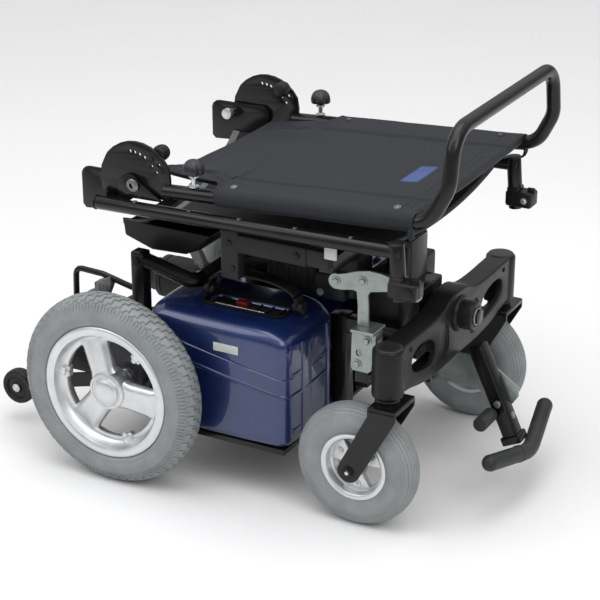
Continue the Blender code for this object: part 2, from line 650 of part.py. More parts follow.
def make_recline_fixings(name, side):
    """Fixed bracket and rear plate either side of the recline plate, their pin and lock pin."""
    y0, z0 = BACK_PIVOT
    outline = [(-0.066, 0.4622), (0.012, 0.4600)] + arc((y0, z0), 0.0200, -20, 150, 9) + [(-0.050, 0.472)]
    bracket = side_plate(f"recline_bracket_{name}", outline, 0.004, side * 0.2122, "black_frame")
    rear = [(0.090, 0.430)] + arc((0.076, 0.479), 0.0145, 10, 90, 4) + [(0.010, 0.494)]
    rear += arc((y0, z0), 0.0175, 70, 230, 7) + [(0.030, 0.4280), (0.084, 0.4240)]
    plate = side_plate(f"rear_plate_{name}", rear, 0.004, side * 0.1985, None, [(y0 + 0.0555, z0, 0.0046, 16)])
    pin = rod(f"recline_pin_{name}", (side * 0.1970, y0, z0), (side * 0.2130, y0, z0), 0.0080, None, 20)
    join(bracket, pin, plate, rod(f"pin_head_{name}", (side * 0.2126, y0, z0), (side * 0.2190, y0, z0), 0.0110, None, 20))
    lock = rod(f"lock_pin_{name}", (side * 0.1998, y0 + 0.0555, z0), (side * 0.180, y0 + 0.0555, z0), 0.0042, "steel", 16)
    join(lock, rod(f"lock_head_{name}", (side * 0.184, y0 + 0.0555, z0), (side * 0.176, y0 + 0.0555, z0), 0.0095, None, 16))
    attach(joint_empty(f"lock_pin_axis_{name}", (side * 0.19, y0 + 0.0555, z0)), lock)


def make_star_knob(name, side, hinge):
    """Clamp knob that stands on the back tube, with five lobes and a steel stem."""
    x, y = side * BACK_X, -0.118
    base = 0.4935
    outline = []
    for index in range(30):
        angle = 2 * math.pi * index / 30
        radius = 0.0165 + 0.0014 * math.cos(5 * angle)
        outline.append((radius * math.cos(angle), radius * math.sin(angle)))
    curve = bpy.data.curves.new(f"star_knob_{name}", "CURVE")
    curve.dimensions = "2D"
    curve.fill_mode = "BOTH"
    curve.extrude = 0.009
    spline(curve, outline, True)
    knob = add_object(f"star_knob_{name}", curve, "black_plastic")
    knob.location = (x, y, 0.5255)
    knob = to_mesh(knob, smooth=True)
    knob.data.materials.append(materials["black_plastic"])
    join(knob, rod(f"knob_stem_{name}", (x, y, base), (x, y, 0.518), 0.0065, None, 16))
    axis = joint_empty(f"star_knob_axis_{name}", (x, y, base))
    attach(hinge, axis)
    attach(axis, knob)


def make_kerb_climber():
    """Zinc bracket under the beam, and the swinging arm with its padded foot."""
    y0, z0 = KERB_PIVOT
    outline = [
        (-0.4243, 0.205), (-0.4243, 0.150), (-0.500, 0.150), (-0.537, 0.130),
        (-0.556, 0.128), (-0.571, 0.150), (-0.571, 0.167), (-0.512, 0.205),
    ]
    bracket = side_plate("kerb_bracket", outline, 0.004, 0.0185, "zinc")
    join(bracket, rod("kerb_pin", (0.0195, y0, z0), (-0.0145, y0, z0), 0.0058, None, 20))
    arm = bar("kerb_arm", (0.002, -0.5045, 0.2330), (0.002, -0.5745, 0.0835), 0.025, 0.026, "black_frame")
    cut(arm, rod("kerb_arm_bore", (0.03, y0, z0), (-0.03, y0, z0), 0.0062, None, 20))
    foot = tube(
        "kerb_foot",
        bend([(-0.112, -0.581, 0.096), (0, -0.602, 0.0715), (0.112, -0.581, 0.096)], 0.05, 4),
        0.0135, "foot_rubber", 2,
    )
    for name, side in SIDES:
        ball = bpy.data.meshes.new(f"foot_end_{name}")
        work = bmesh.new()
        bmesh.ops.create_uvsphere(
            work, u_segments=12, v_segments=6, radius=0.0133,
            matrix=Matrix.Translation((side * 0.112, -0.581, 0.096)),
        )
        work.to_mesh(ball)
        work.free()
        join(foot, add_object(f"foot_end_{name}", ball, None))
    cut(foot, bar("foot_seat", (0.002, -0.5045, 0.2330), (0.002, -0.5748, 0.0828), 0.0256, 0.0266, None))
    attach(joint_empty("kerb_axis", (0, y0, z0)), arm, foot)


def make_antitips():
    """On each side a bar behind the gearbox that carries a small wheel on a stub."""
    x, y, z = ANTITIP
    for name, side in SIDES:
        arm_x = side * (x - 0.0185)
        outline = arc((y, z), 0.012, 250, 430, 7) + [(0.098, 0.1185), (0.062 + GAP, 0.1185), (0.062 + GAP, 0.0965), (0.098, 0.0925)]
        arm = side_plate(f"antitip_arm_{name}", outline, 0.006, arm_x, "black_frame")
        join(arm, rod(f"antitip_stub_{name}", (arm_x, y, z), (side * (x + 0.0125), y, z), 0.0040, None, 16))
        wheel = turned(
            f"antitip_wheel_{name}",
            [(0.0305, 0.006), (0.027, 0.011), (0.0044, 0.011), (0.0044, -0.011), (0.027, -0.011), (0.0305, -0.006)],
            "black_plastic", across(side * x, y, z, side), 20,
        )
        attach(joint_empty(f"antitip_axis_{name}", (side * x, y, z)), wheel)


def make_controller():
    """Power module ahead of the tower, with its socket."""
    module = box("power_module", (-0.030, -0.386, 0.205), (0.100, -0.330, 0.338), "black_plastic", 0.004)
    join(module, box("module_socket", (0.004, -0.376, 0.334), (0.070, -0.342, 0.350), None, 0.003))


def stand_on_floor_centre():
    """Hangs everything on one empty and moves it, so the origin is under the middle."""
    base = bpy.data.objects.new("floor_centre", None)
    collections["power_wheelchair"].objects.link(base)
    graph = bpy.context.evaluated_depsgraph_get()
    corners = []
    for obj in collections["power_wheelchair"].objects:
        if obj.type == "MESH":
            placed = obj.evaluated_get(graph)
            corners += [placed.matrix_world @ Vector(corner) for corner in placed.bound_box]
    for obj in list(collections["power_wheelchair"].objects) + list(collections["cutters"].objects):
        if obj.parent is None and obj is not base:
            obj.parent = base
    reach = [corner.y for corner in corners]
    base.location.y = -(min(reach) + max(reach)) / 2
    bpy.context.view_layer.update()


clear_scene()
make_collection("power_wheelchair")
make_collection("cutters", hidden=True)
make_materials()
make_chassis()
make_rear_frame()
make_batteries()
make_drives()
make_rear_wheels()
make_castor_beam()
make_castors()
make_seat_supports()
make_seat()
make_backrest()
make_kerb_climber()
make_antitips()
make_controller()
stand_on_floor_centre()
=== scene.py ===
import json
import math

import bmesh
import bpy
from mathutils import Matrix, Vector, noise


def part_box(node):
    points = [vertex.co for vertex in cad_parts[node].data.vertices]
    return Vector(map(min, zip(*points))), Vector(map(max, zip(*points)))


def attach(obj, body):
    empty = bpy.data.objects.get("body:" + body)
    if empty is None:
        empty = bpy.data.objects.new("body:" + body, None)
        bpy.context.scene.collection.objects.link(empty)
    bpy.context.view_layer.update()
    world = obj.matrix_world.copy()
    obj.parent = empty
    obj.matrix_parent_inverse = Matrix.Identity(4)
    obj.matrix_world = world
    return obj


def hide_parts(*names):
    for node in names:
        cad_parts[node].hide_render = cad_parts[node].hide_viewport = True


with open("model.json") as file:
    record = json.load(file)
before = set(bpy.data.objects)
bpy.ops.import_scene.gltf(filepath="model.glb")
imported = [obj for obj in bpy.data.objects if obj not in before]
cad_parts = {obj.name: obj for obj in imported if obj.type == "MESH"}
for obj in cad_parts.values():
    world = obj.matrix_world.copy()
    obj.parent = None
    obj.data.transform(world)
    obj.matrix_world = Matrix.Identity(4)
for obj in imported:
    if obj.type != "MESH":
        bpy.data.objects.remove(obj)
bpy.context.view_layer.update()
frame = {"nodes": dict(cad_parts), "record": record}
sides = {"right": -1, "left": 1}

# everything below is drawn with y counted from the drive axle, then slid to the frame's place
tyreLow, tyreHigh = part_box("rear_tyre_right")
axleY = (tyreLow.y + tyreHigh.y) / 2
axleZ = (tyreLow.z + tyreHigh.z) / 2
wheelX = -(tyreLow.x + tyreHigh.x) / 2

looks = bpy.data.collections.new("chairLooks")
bpy.context.scene.collection.children.link(looks)


def midOf(node):
    low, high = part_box(node)
    return (low + high) / 2 - Vector((0, axleY, 0))


def boxOf(node):
    low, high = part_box(node)
    return low - Vector((0, axleY, 0)), high - Vector((0, axleY, 0))


# small material helpers
def addNode(tree, kind, place, **inputs):
    node = tree.nodes.new(kind)
    node.location = place
    for name, value in inputs.items():
        node.inputs[name.replace("_", " ")].default_value = value
    return node


def startFinish(name, rough, metal=0.0):
    mat = bpy.data.materials.new(name)
    mat.use_nodes = True
    shader = mat.node_tree.nodes["Principled BSDF"]
    shader.inputs["Roughness"].default_value = rough
    shader.inputs["Metallic"].default_value = metal
    coords = mat.node_tree.nodes.new("ShaderNodeTexCoord")
    coords.location = (-1200, 0)
    return mat, mat.node_tree, shader, coords.outputs["Object"]


def mottle(tree, coords, low, high, scale, place=(-700, 200), detail=4.0, spread=(0.35, 0.65)):
    # colour that drifts between two tones
    cloud = addNode(tree, "ShaderNodeTexNoise", place, Scale=scale, Detail=detail, Roughness=0.6)
    tree.links.new(coords, cloud.inputs["Vector"])
    ramp = tree.nodes.new("ShaderNodeValToRGB")
    ramp.location = (place[0] + 200, place[1])
    ramp.color_ramp.elements[0].position = spread[0]
    ramp.color_ramp.elements[0].color = (*low, 1)
    ramp.color_ramp.elements[1].position = spread[1]
    ramp.color_ramp.elements[1].color = (*high, 1)
    tree.links.new(cloud.outputs["Fac"], ramp.inputs["Fac"])
    return ramp.outputs["Color"], cloud.outputs["Fac"]


def varyRough(tree, source, shader, low, high, place=(-400, -100)):
    span = addNode(tree, "ShaderNodeMapRange", place, From_Min=0.3, From_Max=0.7, To_Min=low, To_Max=high)
    tree.links.new(source, span.inputs["Value"])
    tree.links.new(span.outputs["Result"], shader.inputs["Roughness"])


def grainBump(tree, coords, shader, scale, depth, strength, detail=3.0, place=(-700, -350)):
    grain = addNode(tree, "ShaderNodeTexNoise", place, Scale=scale, Detail=detail)
    tree.links.new(coords, grain.inputs["Vector"])
    bump = addNode(tree, "ShaderNodeBump", (place[0] + 350, place[1]), Strength=strength, Distance=depth)
    tree.links.new(grain.outputs["Fac"], bump.inputs["Height"])
    tree.links.new(bump.outputs["Normal"], shader.inputs["Normal"])
    return bump


def coatedSteel(name, low, high, rough, orangePeel=420.0, strength=0.1, metal=0.0, shine=0.3):
    # powder coat: a little orange peel, tone and gloss drifting slowly
    mat, tree, shader, coords = startFinish(name, rough[0], metal)
    shader.inputs["Specular IOR Level"].default_value = shine
    colour, cloud = mottle(tree, coords, low, high, 14.0)
    tree.links.new(colour, shader.inputs["Base Color"])
    varyRough(tree, cloud, shader, *rough)
    grainBump(tree, coords, shader, orangePeel, 0.0006, strength)
    return mat


def mouldedPlastic(name, low, high, rough, grain=900.0, strength=0.25, shine=0.25):
    mat, tree, shader, coords = startFinish(name, rough[0])
    shader.inputs["Specular IOR Level"].default_value = shine
    colour, cloud = mottle(tree, coords, low, high, 22.0)
    tree.links.new(colour, shader.inputs["Base Color"])
    varyRough(tree, cloud, shader, *rough)
    grainBump(tree, coords, shader, grain, 0.0005, strength, detail=2.0)
    return mat


def blendOver(tree, shader, colour, detail, blend, share):
    mix = tree.nodes.new("ShaderNodeMix")
    mix.data_type = "RGBA"
    mix.blend_type = blend
    mix.location = (-200, 300)
    mix.inputs[0].default_value = share
    tree.links.new(colour, mix.inputs[6])
    tree.links.new(detail, mix.inputs[7])
    tree.links.new(mix.outputs[2], shader.inputs["Base Color"])


def tyreRubber():
    # light grey non-marking rubber with a dusty film
    mat, tree, shader, coords = startFinish("tyreRubber", 0.62)
    colour, cloud = mottle(tree, coords, (0.225, 0.243, 0.248), (0.285, 0.305, 0.31), 26.0)
    fine = addNode(tree, "ShaderNodeTexNoise", (-700, 450), Scale=380.0, Detail=2.0)
    tree.links.new(coords, fine.inputs["Vector"])
    blendOver(tree, shader, colour, fine.outputs["Color"], "MULTIPLY", 0.22)
    varyRough(tree, cloud, shader, 0.55, 0.72)
    grainBump(tree, coords, shader, 520.0, 0.0006, 0.22)
    return mat


def silverPaint():
    # satin silver lacquer on cast alloy, metal flake too small to see singly
    mat, tree, shader, coords = startFinish("silverPaint", 0.34, 0.82)
    colour, cloud = mottle(tree, coords, (0.6, 0.61, 0.62), (0.7, 0.71, 0.72), 30.0)
    tree.links.new(colour, shader.inputs["Base Color"])
    varyRough(tree, cloud, shader, 0.3, 0.42)
    grainBump(tree, coords, shader, 1400.0, 0.0003, 0.12)
    shader.inputs["Coat Weight"].default_value = 0.25
    shader.inputs["Coat Roughness"].default_value = 0.18
    return mat


def boxPaint():
    # deep blue metallic lacquer under a clear coat
    mat, tree, shader, coords = startFinish("boxPaint", 0.3, 0.35)
    colour, cloud = mottle(tree, coords, (0.005, 0.014, 0.078), (0.008, 0.023, 0.115), 9.0)
    flake = addNode(tree, "ShaderNodeTexVoronoi", (-900, 500), Scale=1500.0)
    tree.links.new(coords, flake.inputs["Vector"])
    blendOver(tree, shader, colour, flake.outputs["Color"], "OVERLAY", 0.18)
    varyRough(tree, cloud, shader, 0.26, 0.36)
    grainBump(tree, coords, shader, 60.0, 0.0004, 0.05, detail=1.0)
    shader.inputs["Coat Weight"].default_value = 1.0
    shader.inputs["Coat Roughness"].default_value = 0.04
    return mat


def zincPlate(name, low, high, rough=(0.3, 0.48)):
    # zinc plating: blotchy, with faint rolling marks
    mat, tree, shader, coords = startFinish(name, rough[0], 0.85)
    colour, cloud = mottle(tree, coords, low, high, 45.0, spread=(0.3, 0.7))
    tree.links.new(colour, shader.inputs["Base Color"])
    varyRough(tree, cloud, shader, *rough)
    stretch = addNode(tree, "ShaderNodeMapping", (-1000, -350), Scale=(40.0, 900.0, 900.0))
    tree.links.new(coords, stretch.inputs["Vector"])
    grainBump(tree, stretch.outputs["Vector"], shader, 1.0, 0.0003, 0.1)
    return mat


def wovenNylon(name, low, high, uvName=None, thread=0.0009, rough=0.62, sheen=0.03, shine=0.22):
    # plain weave from two crossed waves, with a slow random drift in its tone
    mat, tree, shader, coords = startFinish(name, rough)
    shader.inputs["Specular IOR Level"].default_value = shine
    source = coords
    if uvName:
        uvs = tree.nodes.new("ShaderNodeUVMap")
        uvs.location = (-1200, -300)
        uvs.uv_map = uvName
        source = uvs.outputs["UV"]
    waves = []
    for index, axis in enumerate(("X", "Y")):
        wave = addNode(tree, "ShaderNodeTexWave", (-900, -300 - 250 * index), Scale=0.314 / thread,
            Distortion=0.4)
        wave.bands_direction = axis
        tree.links.new(source, wave.inputs["Vector"])
        waves.append(wave.outputs["Fac"])
    weave = tree.nodes.new("ShaderNodeMath")
    weave.operation = "MULTIPLY"
    weave.location = (-650, -400)
    tree.links.new(waves[0], weave.inputs[0])
    tree.links.new(waves[1], weave.inputs[1])
    colour, cloud = mottle(tree, coords, low, high, 18.0)
    blendOver(tree, shader, colour, weave.outputs[0], "MULTIPLY", 0.35)
    varyRough(tree, cloud, shader, rough - 0.06, rough + 0.08)
    bump = addNode(tree, "ShaderNodeBump", (-350, -350), Strength=0.35, Distance=0.0004)
    tree.links.new(weave.outputs[0], bump.inputs["Height"])
    tree.links.new(bump.outputs["Normal"], shader.inputs["Normal"])
    shader.inputs["Sheen Weight"].default_value = sheen
    shader.inputs["Sheen Roughness"].default_value = 0.4
    return mat


finishes = {
    "tyre": tyreRubber(),
    "silver": silverPaint(),
    "blue": boxPaint(),
    "zinc": zincPlate("zincPlate", (0.24, 0.27, 0.258), (0.35, 0.385, 0.37)),
    "steel": zincPlate("brightSteel", (0.5, 0.51, 0.52), (0.66, 0.67, 0.68), (0.2, 0.34)),
    "black": coatedSteel("blackCoat", (0.004, 0.004, 0.0045), (0.008, 0.008, 0.009), (0.18, 0.28),
        shine=0.34),
    "grey": coatedSteel("greyCoat", (0.015, 0.0155, 0.0165), (0.023, 0.0235, 0.025), (0.38, 0.52),
        shine=0.22),
    "cast": coatedSteel("beamCoat", (0.006, 0.006, 0.0065), (0.011, 0.011, 0.012), (0.3, 0.42), 260.0, 0.22,
        shine=0.24),
    "drive": coatedSteel("driveCasting", (0.075, 0.075, 0.08), (0.11, 0.11, 0.115), (0.42, 0.58), 340.0,
        0.3, 0.4),
    "plastic": mouldedPlastic("blackPlastic", (0.007, 0.007, 0.008), (0.014, 0.014, 0.015), (0.34, 0.48)),
    "gloss": mouldedPlastic("knobPlastic", (0.014, 0.014, 0.016), (0.024, 0.024, 0.027), (0.26, 0.38),
        700.0, 0.08, 0.4),
    "greyPlastic": mouldedPlastic("greyPlastic", (0.12, 0.125, 0.13), (0.18, 0.185, 0.19), (0.45, 0.6)),
    "pale": mouldedPlastic("paleTag", (0.46, 0.49, 0.47), (0.58, 0.6, 0.58), (0.4, 0.55), 500.0, 0.15),
    "red": mouldedPlastic("redKnob", (0.11, 0.006, 0.006), (0.17, 0.01, 0.01), (0.35, 0.45)),
    "foot": mouldedPlastic("footRubber", (0.02, 0.022, 0.021), (0.036, 0.038, 0.037), (0.4, 0.55), 600.0,
        0.2),
    "label": wovenNylon("wovenLabel", (0.06, 0.095, 0.26), (0.095, 0.14, 0.33), thread=0.0007),
    "nickel": zincPlate("nickelScrew", (0.16, 0.16, 0.165), (0.26, 0.26, 0.265), (0.28, 0.4)),
    "hem": wovenNylon("greyHem", (0.13, 0.14, 0.145), (0.19, 0.2, 0.205), thread=0.0012),
    "thread": mouldedPlastic("seamThread", (0.014, 0.016, 0.019), (0.026, 0.029, 0.034), (0.5, 0.6)),
    "cloth": wovenNylon("backNylon", (0.017, 0.02, 0.025), (0.024, 0.0275, 0.0335), uvName="cloth"),
    "sling": wovenNylon("slingNylon", (0.008, 0.008, 0.009), (0.015, 0.015, 0.017), uvName="cloth"),
}
print("finishes:", len(finishes))


# small mesh helpers
def linkMesh(name, mesh, smooth=35):
    obj = bpy.data.objects.new(name, mesh)
    looks.objects.link(obj)
    if smooth:
        mesh.shade_smooth()
        mesh.set_sharp_from_angle(angle=math.radians(smooth))
    return obj


def fromBm(name, bm, smooth=35, recalc=True):
    if recalc:
        bmesh.ops.recalc_face_normals(bm, faces=bm.faces)
    mesh = bpy.data.meshes.new(name)
    bm.to_mesh(mesh)
    bm.free()
    return linkMesh(name, mesh, smooth)


def bake(obj, smooth=35):
    # modifiers and curves become a plain mesh, in place
    bpy.context.view_layer.update()
    graph = bpy.context.evaluated_depsgraph_get()
    mesh = bpy.data.meshes.new_from_object(obj.evaluated_get(graph), depsgraph=graph)
    mesh.transform(obj.matrix_world)
    name = obj.name
    bpy.data.objects.remove(obj, do_unlink=True)
    mesh.name = name
    return linkMesh(name, mesh, smooth)


def turnTo(start, direction, spin=0.0):
    quat = Vector(direction).normalized().to_track_quat("Z", "Y")
    return Matrix.Translation(start) @ quat.to_matrix().to_4x4() @ Matrix.Rotation(spin, 4, "Z")


def onAxle(x, y, z, side):
    # local Z along X, outwards on that side
    return Matrix.Translation((x, y, z)) @ Matrix.Rotation(side * math.pi / 2, 4, "Y")


def lathe(bm, profile, place, segments=64, closed=False):
    # profile is (radius, height); closed joins its end to its start
    rings = []
    for radius, height in profile:
        if radius < 1e-6:
            rings.append([bm.verts.new(place @ Vector((0, 0, height)))])
        else:
            turns = [2 * math.pi * k / segments for k in range(segments)]
            rings.append([bm.verts.new(place @ Vector((radius * math.cos(t), radius * math.sin(t),
                height))) for t in turns])
    pairs = list(zip(rings, rings[1:])) + ([(rings[-1], rings[0])] if closed else [])
    for one, two in pairs:
        for k in range(segments):
            after = (k + 1) % segments
            face = [one[k % len(one)], one[after % len(one)], two[after % len(two)], two[k % len(two)]]
            face = list(dict.fromkeys(face))
            if len(face) > 2:
                bm.faces.new(face)
    return bm


def rodInto(bm, start, end, radius, round=0.001, segments=32, radiusEnd=None):
    # round bar with eased ends
    start, end = Vector(start), Vector(end)
    length = (end - start).length
    tip = radius if radiusEnd is None else radiusEnd
    profile = [(0, 0), (radius - round, 0), (radius - 0.3 * round, 0.3 * round), (radius, round)]
    profile += [(tip, length - round), (tip - 0.3 * round, length - 0.3 * round), (tip - round, length),
        (0, length)]
    return lathe(bm, profile, turnTo(start, end - start), segments)


def blockInto(bm, low, high, edge=0.002, steps=3, turn=None):
    low, high = Vector(low), Vector(high)
    part = bmesh.new()
    size = Matrix.Diagonal((*(high - low), 1.0))
    bmesh.ops.create_cube(part, size=1.0, matrix=Matrix.Translation((low + high) / 2) @ size)
    if edge:
        bmesh.ops.bevel(part, geom=part.edges[:], offset=edge, segments=steps, profile=0.5, affect="EDGES")
    if turn:
        bmesh.ops.transform(part, matrix=turn, verts=part.verts)
    addInto(bm, part)
    return bm


def addInto(bm, part):
    mesh = bpy.data.meshes.new("part")
    part.to_mesh(mesh)
    part.free()
    bm.from_mesh(mesh)
    bpy.data.meshes.remove(mesh)


def addObject(bm, obj):
    bm.from_mesh(obj.data)
    bpy.data.objects.remove(obj, do_unlink=True)


def arcOf(centre, radius, start, end, count, squash=1.0):
    turns = [math.radians(start + (end - start) * k / (count - 1)) for k in range(count)]
    return [(centre[0] + radius * math.cos(t), centre[1] + radius * squash * math.sin(t)) for t in turns]


def plate(name, outline, thick, place, holes=(), edge=0.0008):
    # flat outline with holes, eased along its edges; place puts local Z across the sheet
    curve = bpy.data.curves.new(name, "CURVE")
    curve.dimensions = "2D"
    curve.fill_mode = "BOTH"
    curve.extrude = thick / 2 - edge
    curve.bevel_depth = edge
    curve.bevel_resolution = 2
    curve.offset = -edge
    rings = [outline]
    for y, z, radius, *rest in holes:
        reach = rest[0] if rest else 1.0
        rings.append([(y + (a - y) * reach, b) for a, b in arcOf((y, z), radius, 0, 345, 24)])
    for ring in rings:
        line = curve.splines.new("POLY")
        line.points.add(len(ring) - 1)
        for point, spot in zip(line.points, ring):
            point.co = (*spot, 0, 1)
        line.use_cyclic_u = True
    obj = bpy.data.objects.new(name, curve)
    looks.objects.link(obj)
    obj.matrix_world = place
    return bake(obj, 40)


def sideways(x):
    # local X and Y become Y and Z
    return Matrix(((0, 0, 1, x), (1, 0, 0, 0), (0, 1, 0, 0), (0, 0, 0, 1)))


def facing(y):
    # local X and Y become X and Z, the sheet's face towards -Y
    return Matrix(((1, 0, 0, 0), (0, 0, -1, y), (0, 1, 0, 0), (0, 0, 0, 1)))


def bent(points, radius, count=10):
    # a route with each inner corner rounded
    route = [Vector(points[0])]
    for before, corner, after in zip(points, points[1:], points[2:]):
        before, corner, after = Vector(before), Vector(corner), Vector(after)
        one, two = (before - corner).normalized(), (after - corner).normalized()
        half = one.angle(two) / 2
        centre = corner + (one + two).normalized() * radius / math.sin(half)
        reach = radius / math.tan(half)
        first, last = corner + one * reach - centre, corner + two * reach - centre
        route += [centre + first.slerp(last, k / (count - 1)).normalized() * radius for k in range(count)]
    return route + [Vector(points[-1])]


def pipe(name, route, radius, wide=10, squash=None):
    # round tube with closed ends
    curve = bpy.data.curves.new(name, "CURVE")
    curve.dimensions = "3D"
    curve.bevel_depth = radius
    curve.bevel_resolution = wide
    curve.use_fill_caps = True
    if squash:
        curve.extrude = squash
    line = curve.splines.new("POLY")
    line.points.add(len(route) - 1)
    for point, spot in zip(line.points, route):
        point.co = (*spot, 1)
    obj = bpy.data.objects.new(name, curve)
    looks.objects.link(obj)
    return bake(obj, 40)


def carve(obj, cutters, operation="DIFFERENCE"):
    for cutter in cutters:
        step = obj.modifiers.new("carve", "BOOLEAN")
        step.operation = operation
        step.object = cutter
        step.solver = "EXACT"
    result = bake(obj)
    for cutter in cutters:
        bpy.data.objects.remove(cutter, do_unlink=True)
    return result


def easeEdges(obj, width, segments=3, angle=35):
    step = obj.modifiers.new("ease", "BEVEL")
    step.width = width
    step.segments = segments
    step.limit_method = "ANGLE"
    step.angle_limit = math.radians(angle)
    step.harden_normals = False
    return bake(obj, 40)


def finish(obj, body, finishName, stands=()):
    # slide to the frame's place and hang on the body
    obj.data.transform(Matrix.Translation((0, axleY, 0)))
    obj.data.materials.clear()
    obj.data.materials.append(finishes[finishName])
    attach(obj, body)
    if stands:
        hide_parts(*([stands] if isinstance(stands, str) else stands))
    return obj


def tidyNode(node, body, finishName, width=0.0009, name=None):
    # a CAD solid with welded faces and eased edges
    source = frame["nodes"][node]
    bm = bmesh.new()
    bm.from_mesh(source.data)
    bmesh.ops.remove_doubles(bm, verts=bm.verts, dist=0.00002)
    bmesh.ops.dissolve_limit(bm, angle_limit=math.radians(1.5), verts=bm.verts, edges=bm.edges)
    bmesh.ops.translate(bm, vec=(0, -axleY, 0), verts=bm.verts)
    obj = fromBm(name or node + "_finish", bm, 35, recalc=False)
    if width:
        obj = easeEdges(obj, width, 2, 32)
    return finish(obj, body, finishName, node)


# geometry nodes: copies round a wheel, and fixings on points
def startTree(name, *inputs):
    tree = bpy.data.node_groups.new(name, "GeometryNodeTree")
    face = tree.interface
    for label, kind in (("Geometry", "Geometry"),) + inputs + (("Material", "Material"),):
        face.new_socket(label, in_out="INPUT", socket_type="NodeSocket" + kind)
    face.new_socket("Geometry", in_out="OUTPUT", socket_type="NodeSocketGeometry")
    return tree, tree.nodes.new("NodeGroupInput").outputs


def addStep(tree, kind, fed=(), **settings):
    # one node, each socket fed by another node's output or by a plain value
    node = tree.nodes.new(kind)
    for label, value in settings.items():
        setattr(node, label, value)
    for socket, source in dict(fed).items():
        if isinstance(source, bpy.types.NodeSocket):
            tree.links.new(source, node.inputs[socket])
        else:
            node.inputs[socket].default_value = source
    return node.outputs[0] if node.outputs else None


def times(tree, value, share):
    return addStep(tree, "ShaderNodeMath", {0: value, 1: share}, operation="MULTIPLY")


def endTree(tree, given, points, instance, rotation, **more):
    copies = addStep(tree, "GeometryNodeInstanceOnPoints",
                  {"Points": points, "Instance": instance, "Rotation": rotation, **more})
    realized = addStep(tree, "GeometryNodeRealizeInstances", {0: copies})
    painted = addStep(tree, "GeometryNodeSetMaterial", {"Geometry": realized, "Material": given["Material"]})
    addStep(tree, "NodeGroupOutput", {0: painted})
    return tree


def ringOfCopies():
    # repeats the mesh it is put on round local Z, block height along X
    tree, given = startTree("ringOfCopies", ("Count", "Int"), ("Phase", "Float"), ("Radius", "Float"))
    pitch = addStep(tree, "ShaderNodeMath", {0: 2 * math.pi, 1: given["Count"]}, operation="DIVIDE")
    index = addStep(tree, "GeometryNodeInputIndex")
    turn = addStep(tree, "ShaderNodeMath", {0: index, 1: pitch, 2: given["Phase"]}, operation="MULTIPLY_ADD")
    out = addStep(tree, "ShaderNodeCombineXYZ", {"X": given["Radius"]})
    spot = addStep(tree, "ShaderNodeVectorRotate", {"Vector": out, "Angle": turn}, rotation_type="Z_AXIS")
    points = addStep(tree, "GeometryNodePoints", {"Count": given["Count"], "Position": spot})
    angles = addStep(tree, "ShaderNodeCombineXYZ", {"Z": turn})
    return endTree(tree, given, points, given["Geometry"], angles)


def boltHeads():
    # a washer and a hexagon or round head on every point, standing along its "out" attribute
    tree, given = startTree("boltHeads", ("Head Radius", "Float"), ("Head Height", "Float"), ("Sides", "Int"),
                            ("Washer Radius", "Float"))
    radius, height, around = given["Head Radius"], given["Head Height"], given["Sides"]
    washer = addStep(tree, "GeometryNodeMeshCylinder",
                  {"Vertices": 20, "Depth": 0.0024, "Radius": given["Washer Radius"]})
    head = addStep(tree, "GeometryNodeMeshCylinder",
                {"Radius": radius, "Vertices": around, "Depth": times(tree, height, 2.0)})
    crown = addStep(tree, "GeometryNodeMeshCone",
                 {"Vertices": around, "Radius Bottom": radius, "Radius Top": times(tree, radius, 0.8),
                  "Depth": times(tree, radius, 0.16)})
    up = addStep(tree, "ShaderNodeCombineXYZ", {"Z": height})
    lifted = addStep(tree, "GeometryNodeTransform", {"Geometry": crown, "Translation": up})
    both = tree.nodes.new("GeometryNodeJoinGeometry")
    for source in (washer, head, lifted):
        tree.links.new(source, both.inputs[0])
    outward = addStep(tree, "GeometryNodeInputNamedAttribute", {"Name": "out"}, data_type="FLOAT_VECTOR")
    align = addStep(tree, "FunctionNodeAlignRotationToVector", {"Vector": outward}, axis="Z")
    return endTree(tree, given, given["Geometry"], both.outputs[0], align)


trees = {"ring": ringOfCopies(), "bolts": boltHeads()}


def runTree(obj, tree, finishName, **values):
    step = obj.modifiers.new("copies", "NODES")
    step.node_group = trees[tree]
    values["Material"] = finishes[finishName]
    for item in trees[tree].interface.items_tree:
        if item.in_out == "INPUT" and item.name.replace(" ", "") in values:
            step[item.identifier] = values[item.name.replace(" ", "")]
    return bake(obj, 30)


def fixings(name, body, spots, radius, height, finishName="steel", sidesOfHead=6, washer=None):
    # spots are (place, outward direction)
    mesh = bpy.data.meshes.new(name)
    mesh.from_pydata([place for place, out in spots], [], [])
    outs = mesh.attributes.new("out", "FLOAT_VECTOR", "POINT")
    for item, (place, out) in zip(outs.data, spots):
        item.vector = Vector(out).normalized()
    obj = linkMesh(name, mesh, 0)
    obj = runTree(obj, "bolts", finishName, HeadRadius=radius, HeadHeight=height, Sides=sidesOfHead,
                  WasherRadius=washer or radius * 1.35)
    return finish(obj, body, finishName)


def copiesRound(name, block, count, finishName, place, phase=0.0, radius=0.0):
    # block has its height along X, its run along Y and its width along Z
    obj = fromBm(name, block, 25)
    obj = runTree(obj, "ring", finishName, Count=count, Phase=phase, Radius=radius)
    obj.data.transform(place)
    return obj


print("node trees:", len(trees))


# drive wheels
driveTyre = {
    "width": tyreHigh.x - tyreLow.x, "radius": axleZ, "bead": 0.113, "tread": 0.0026,
    "blocks": 58, "rows": 4, "rowPitch": 0.0098, "zigzag": 0.0016, "gap": 0.0017, "shoulderRibs": 150,
}


def crownHeight(tyre, across):
    # radius of the tread surface at a place across the tyre
    half = tyre["width"] / 2
    return tyre["radius"] - 0.0225 * (abs(across) / half) ** 3.0


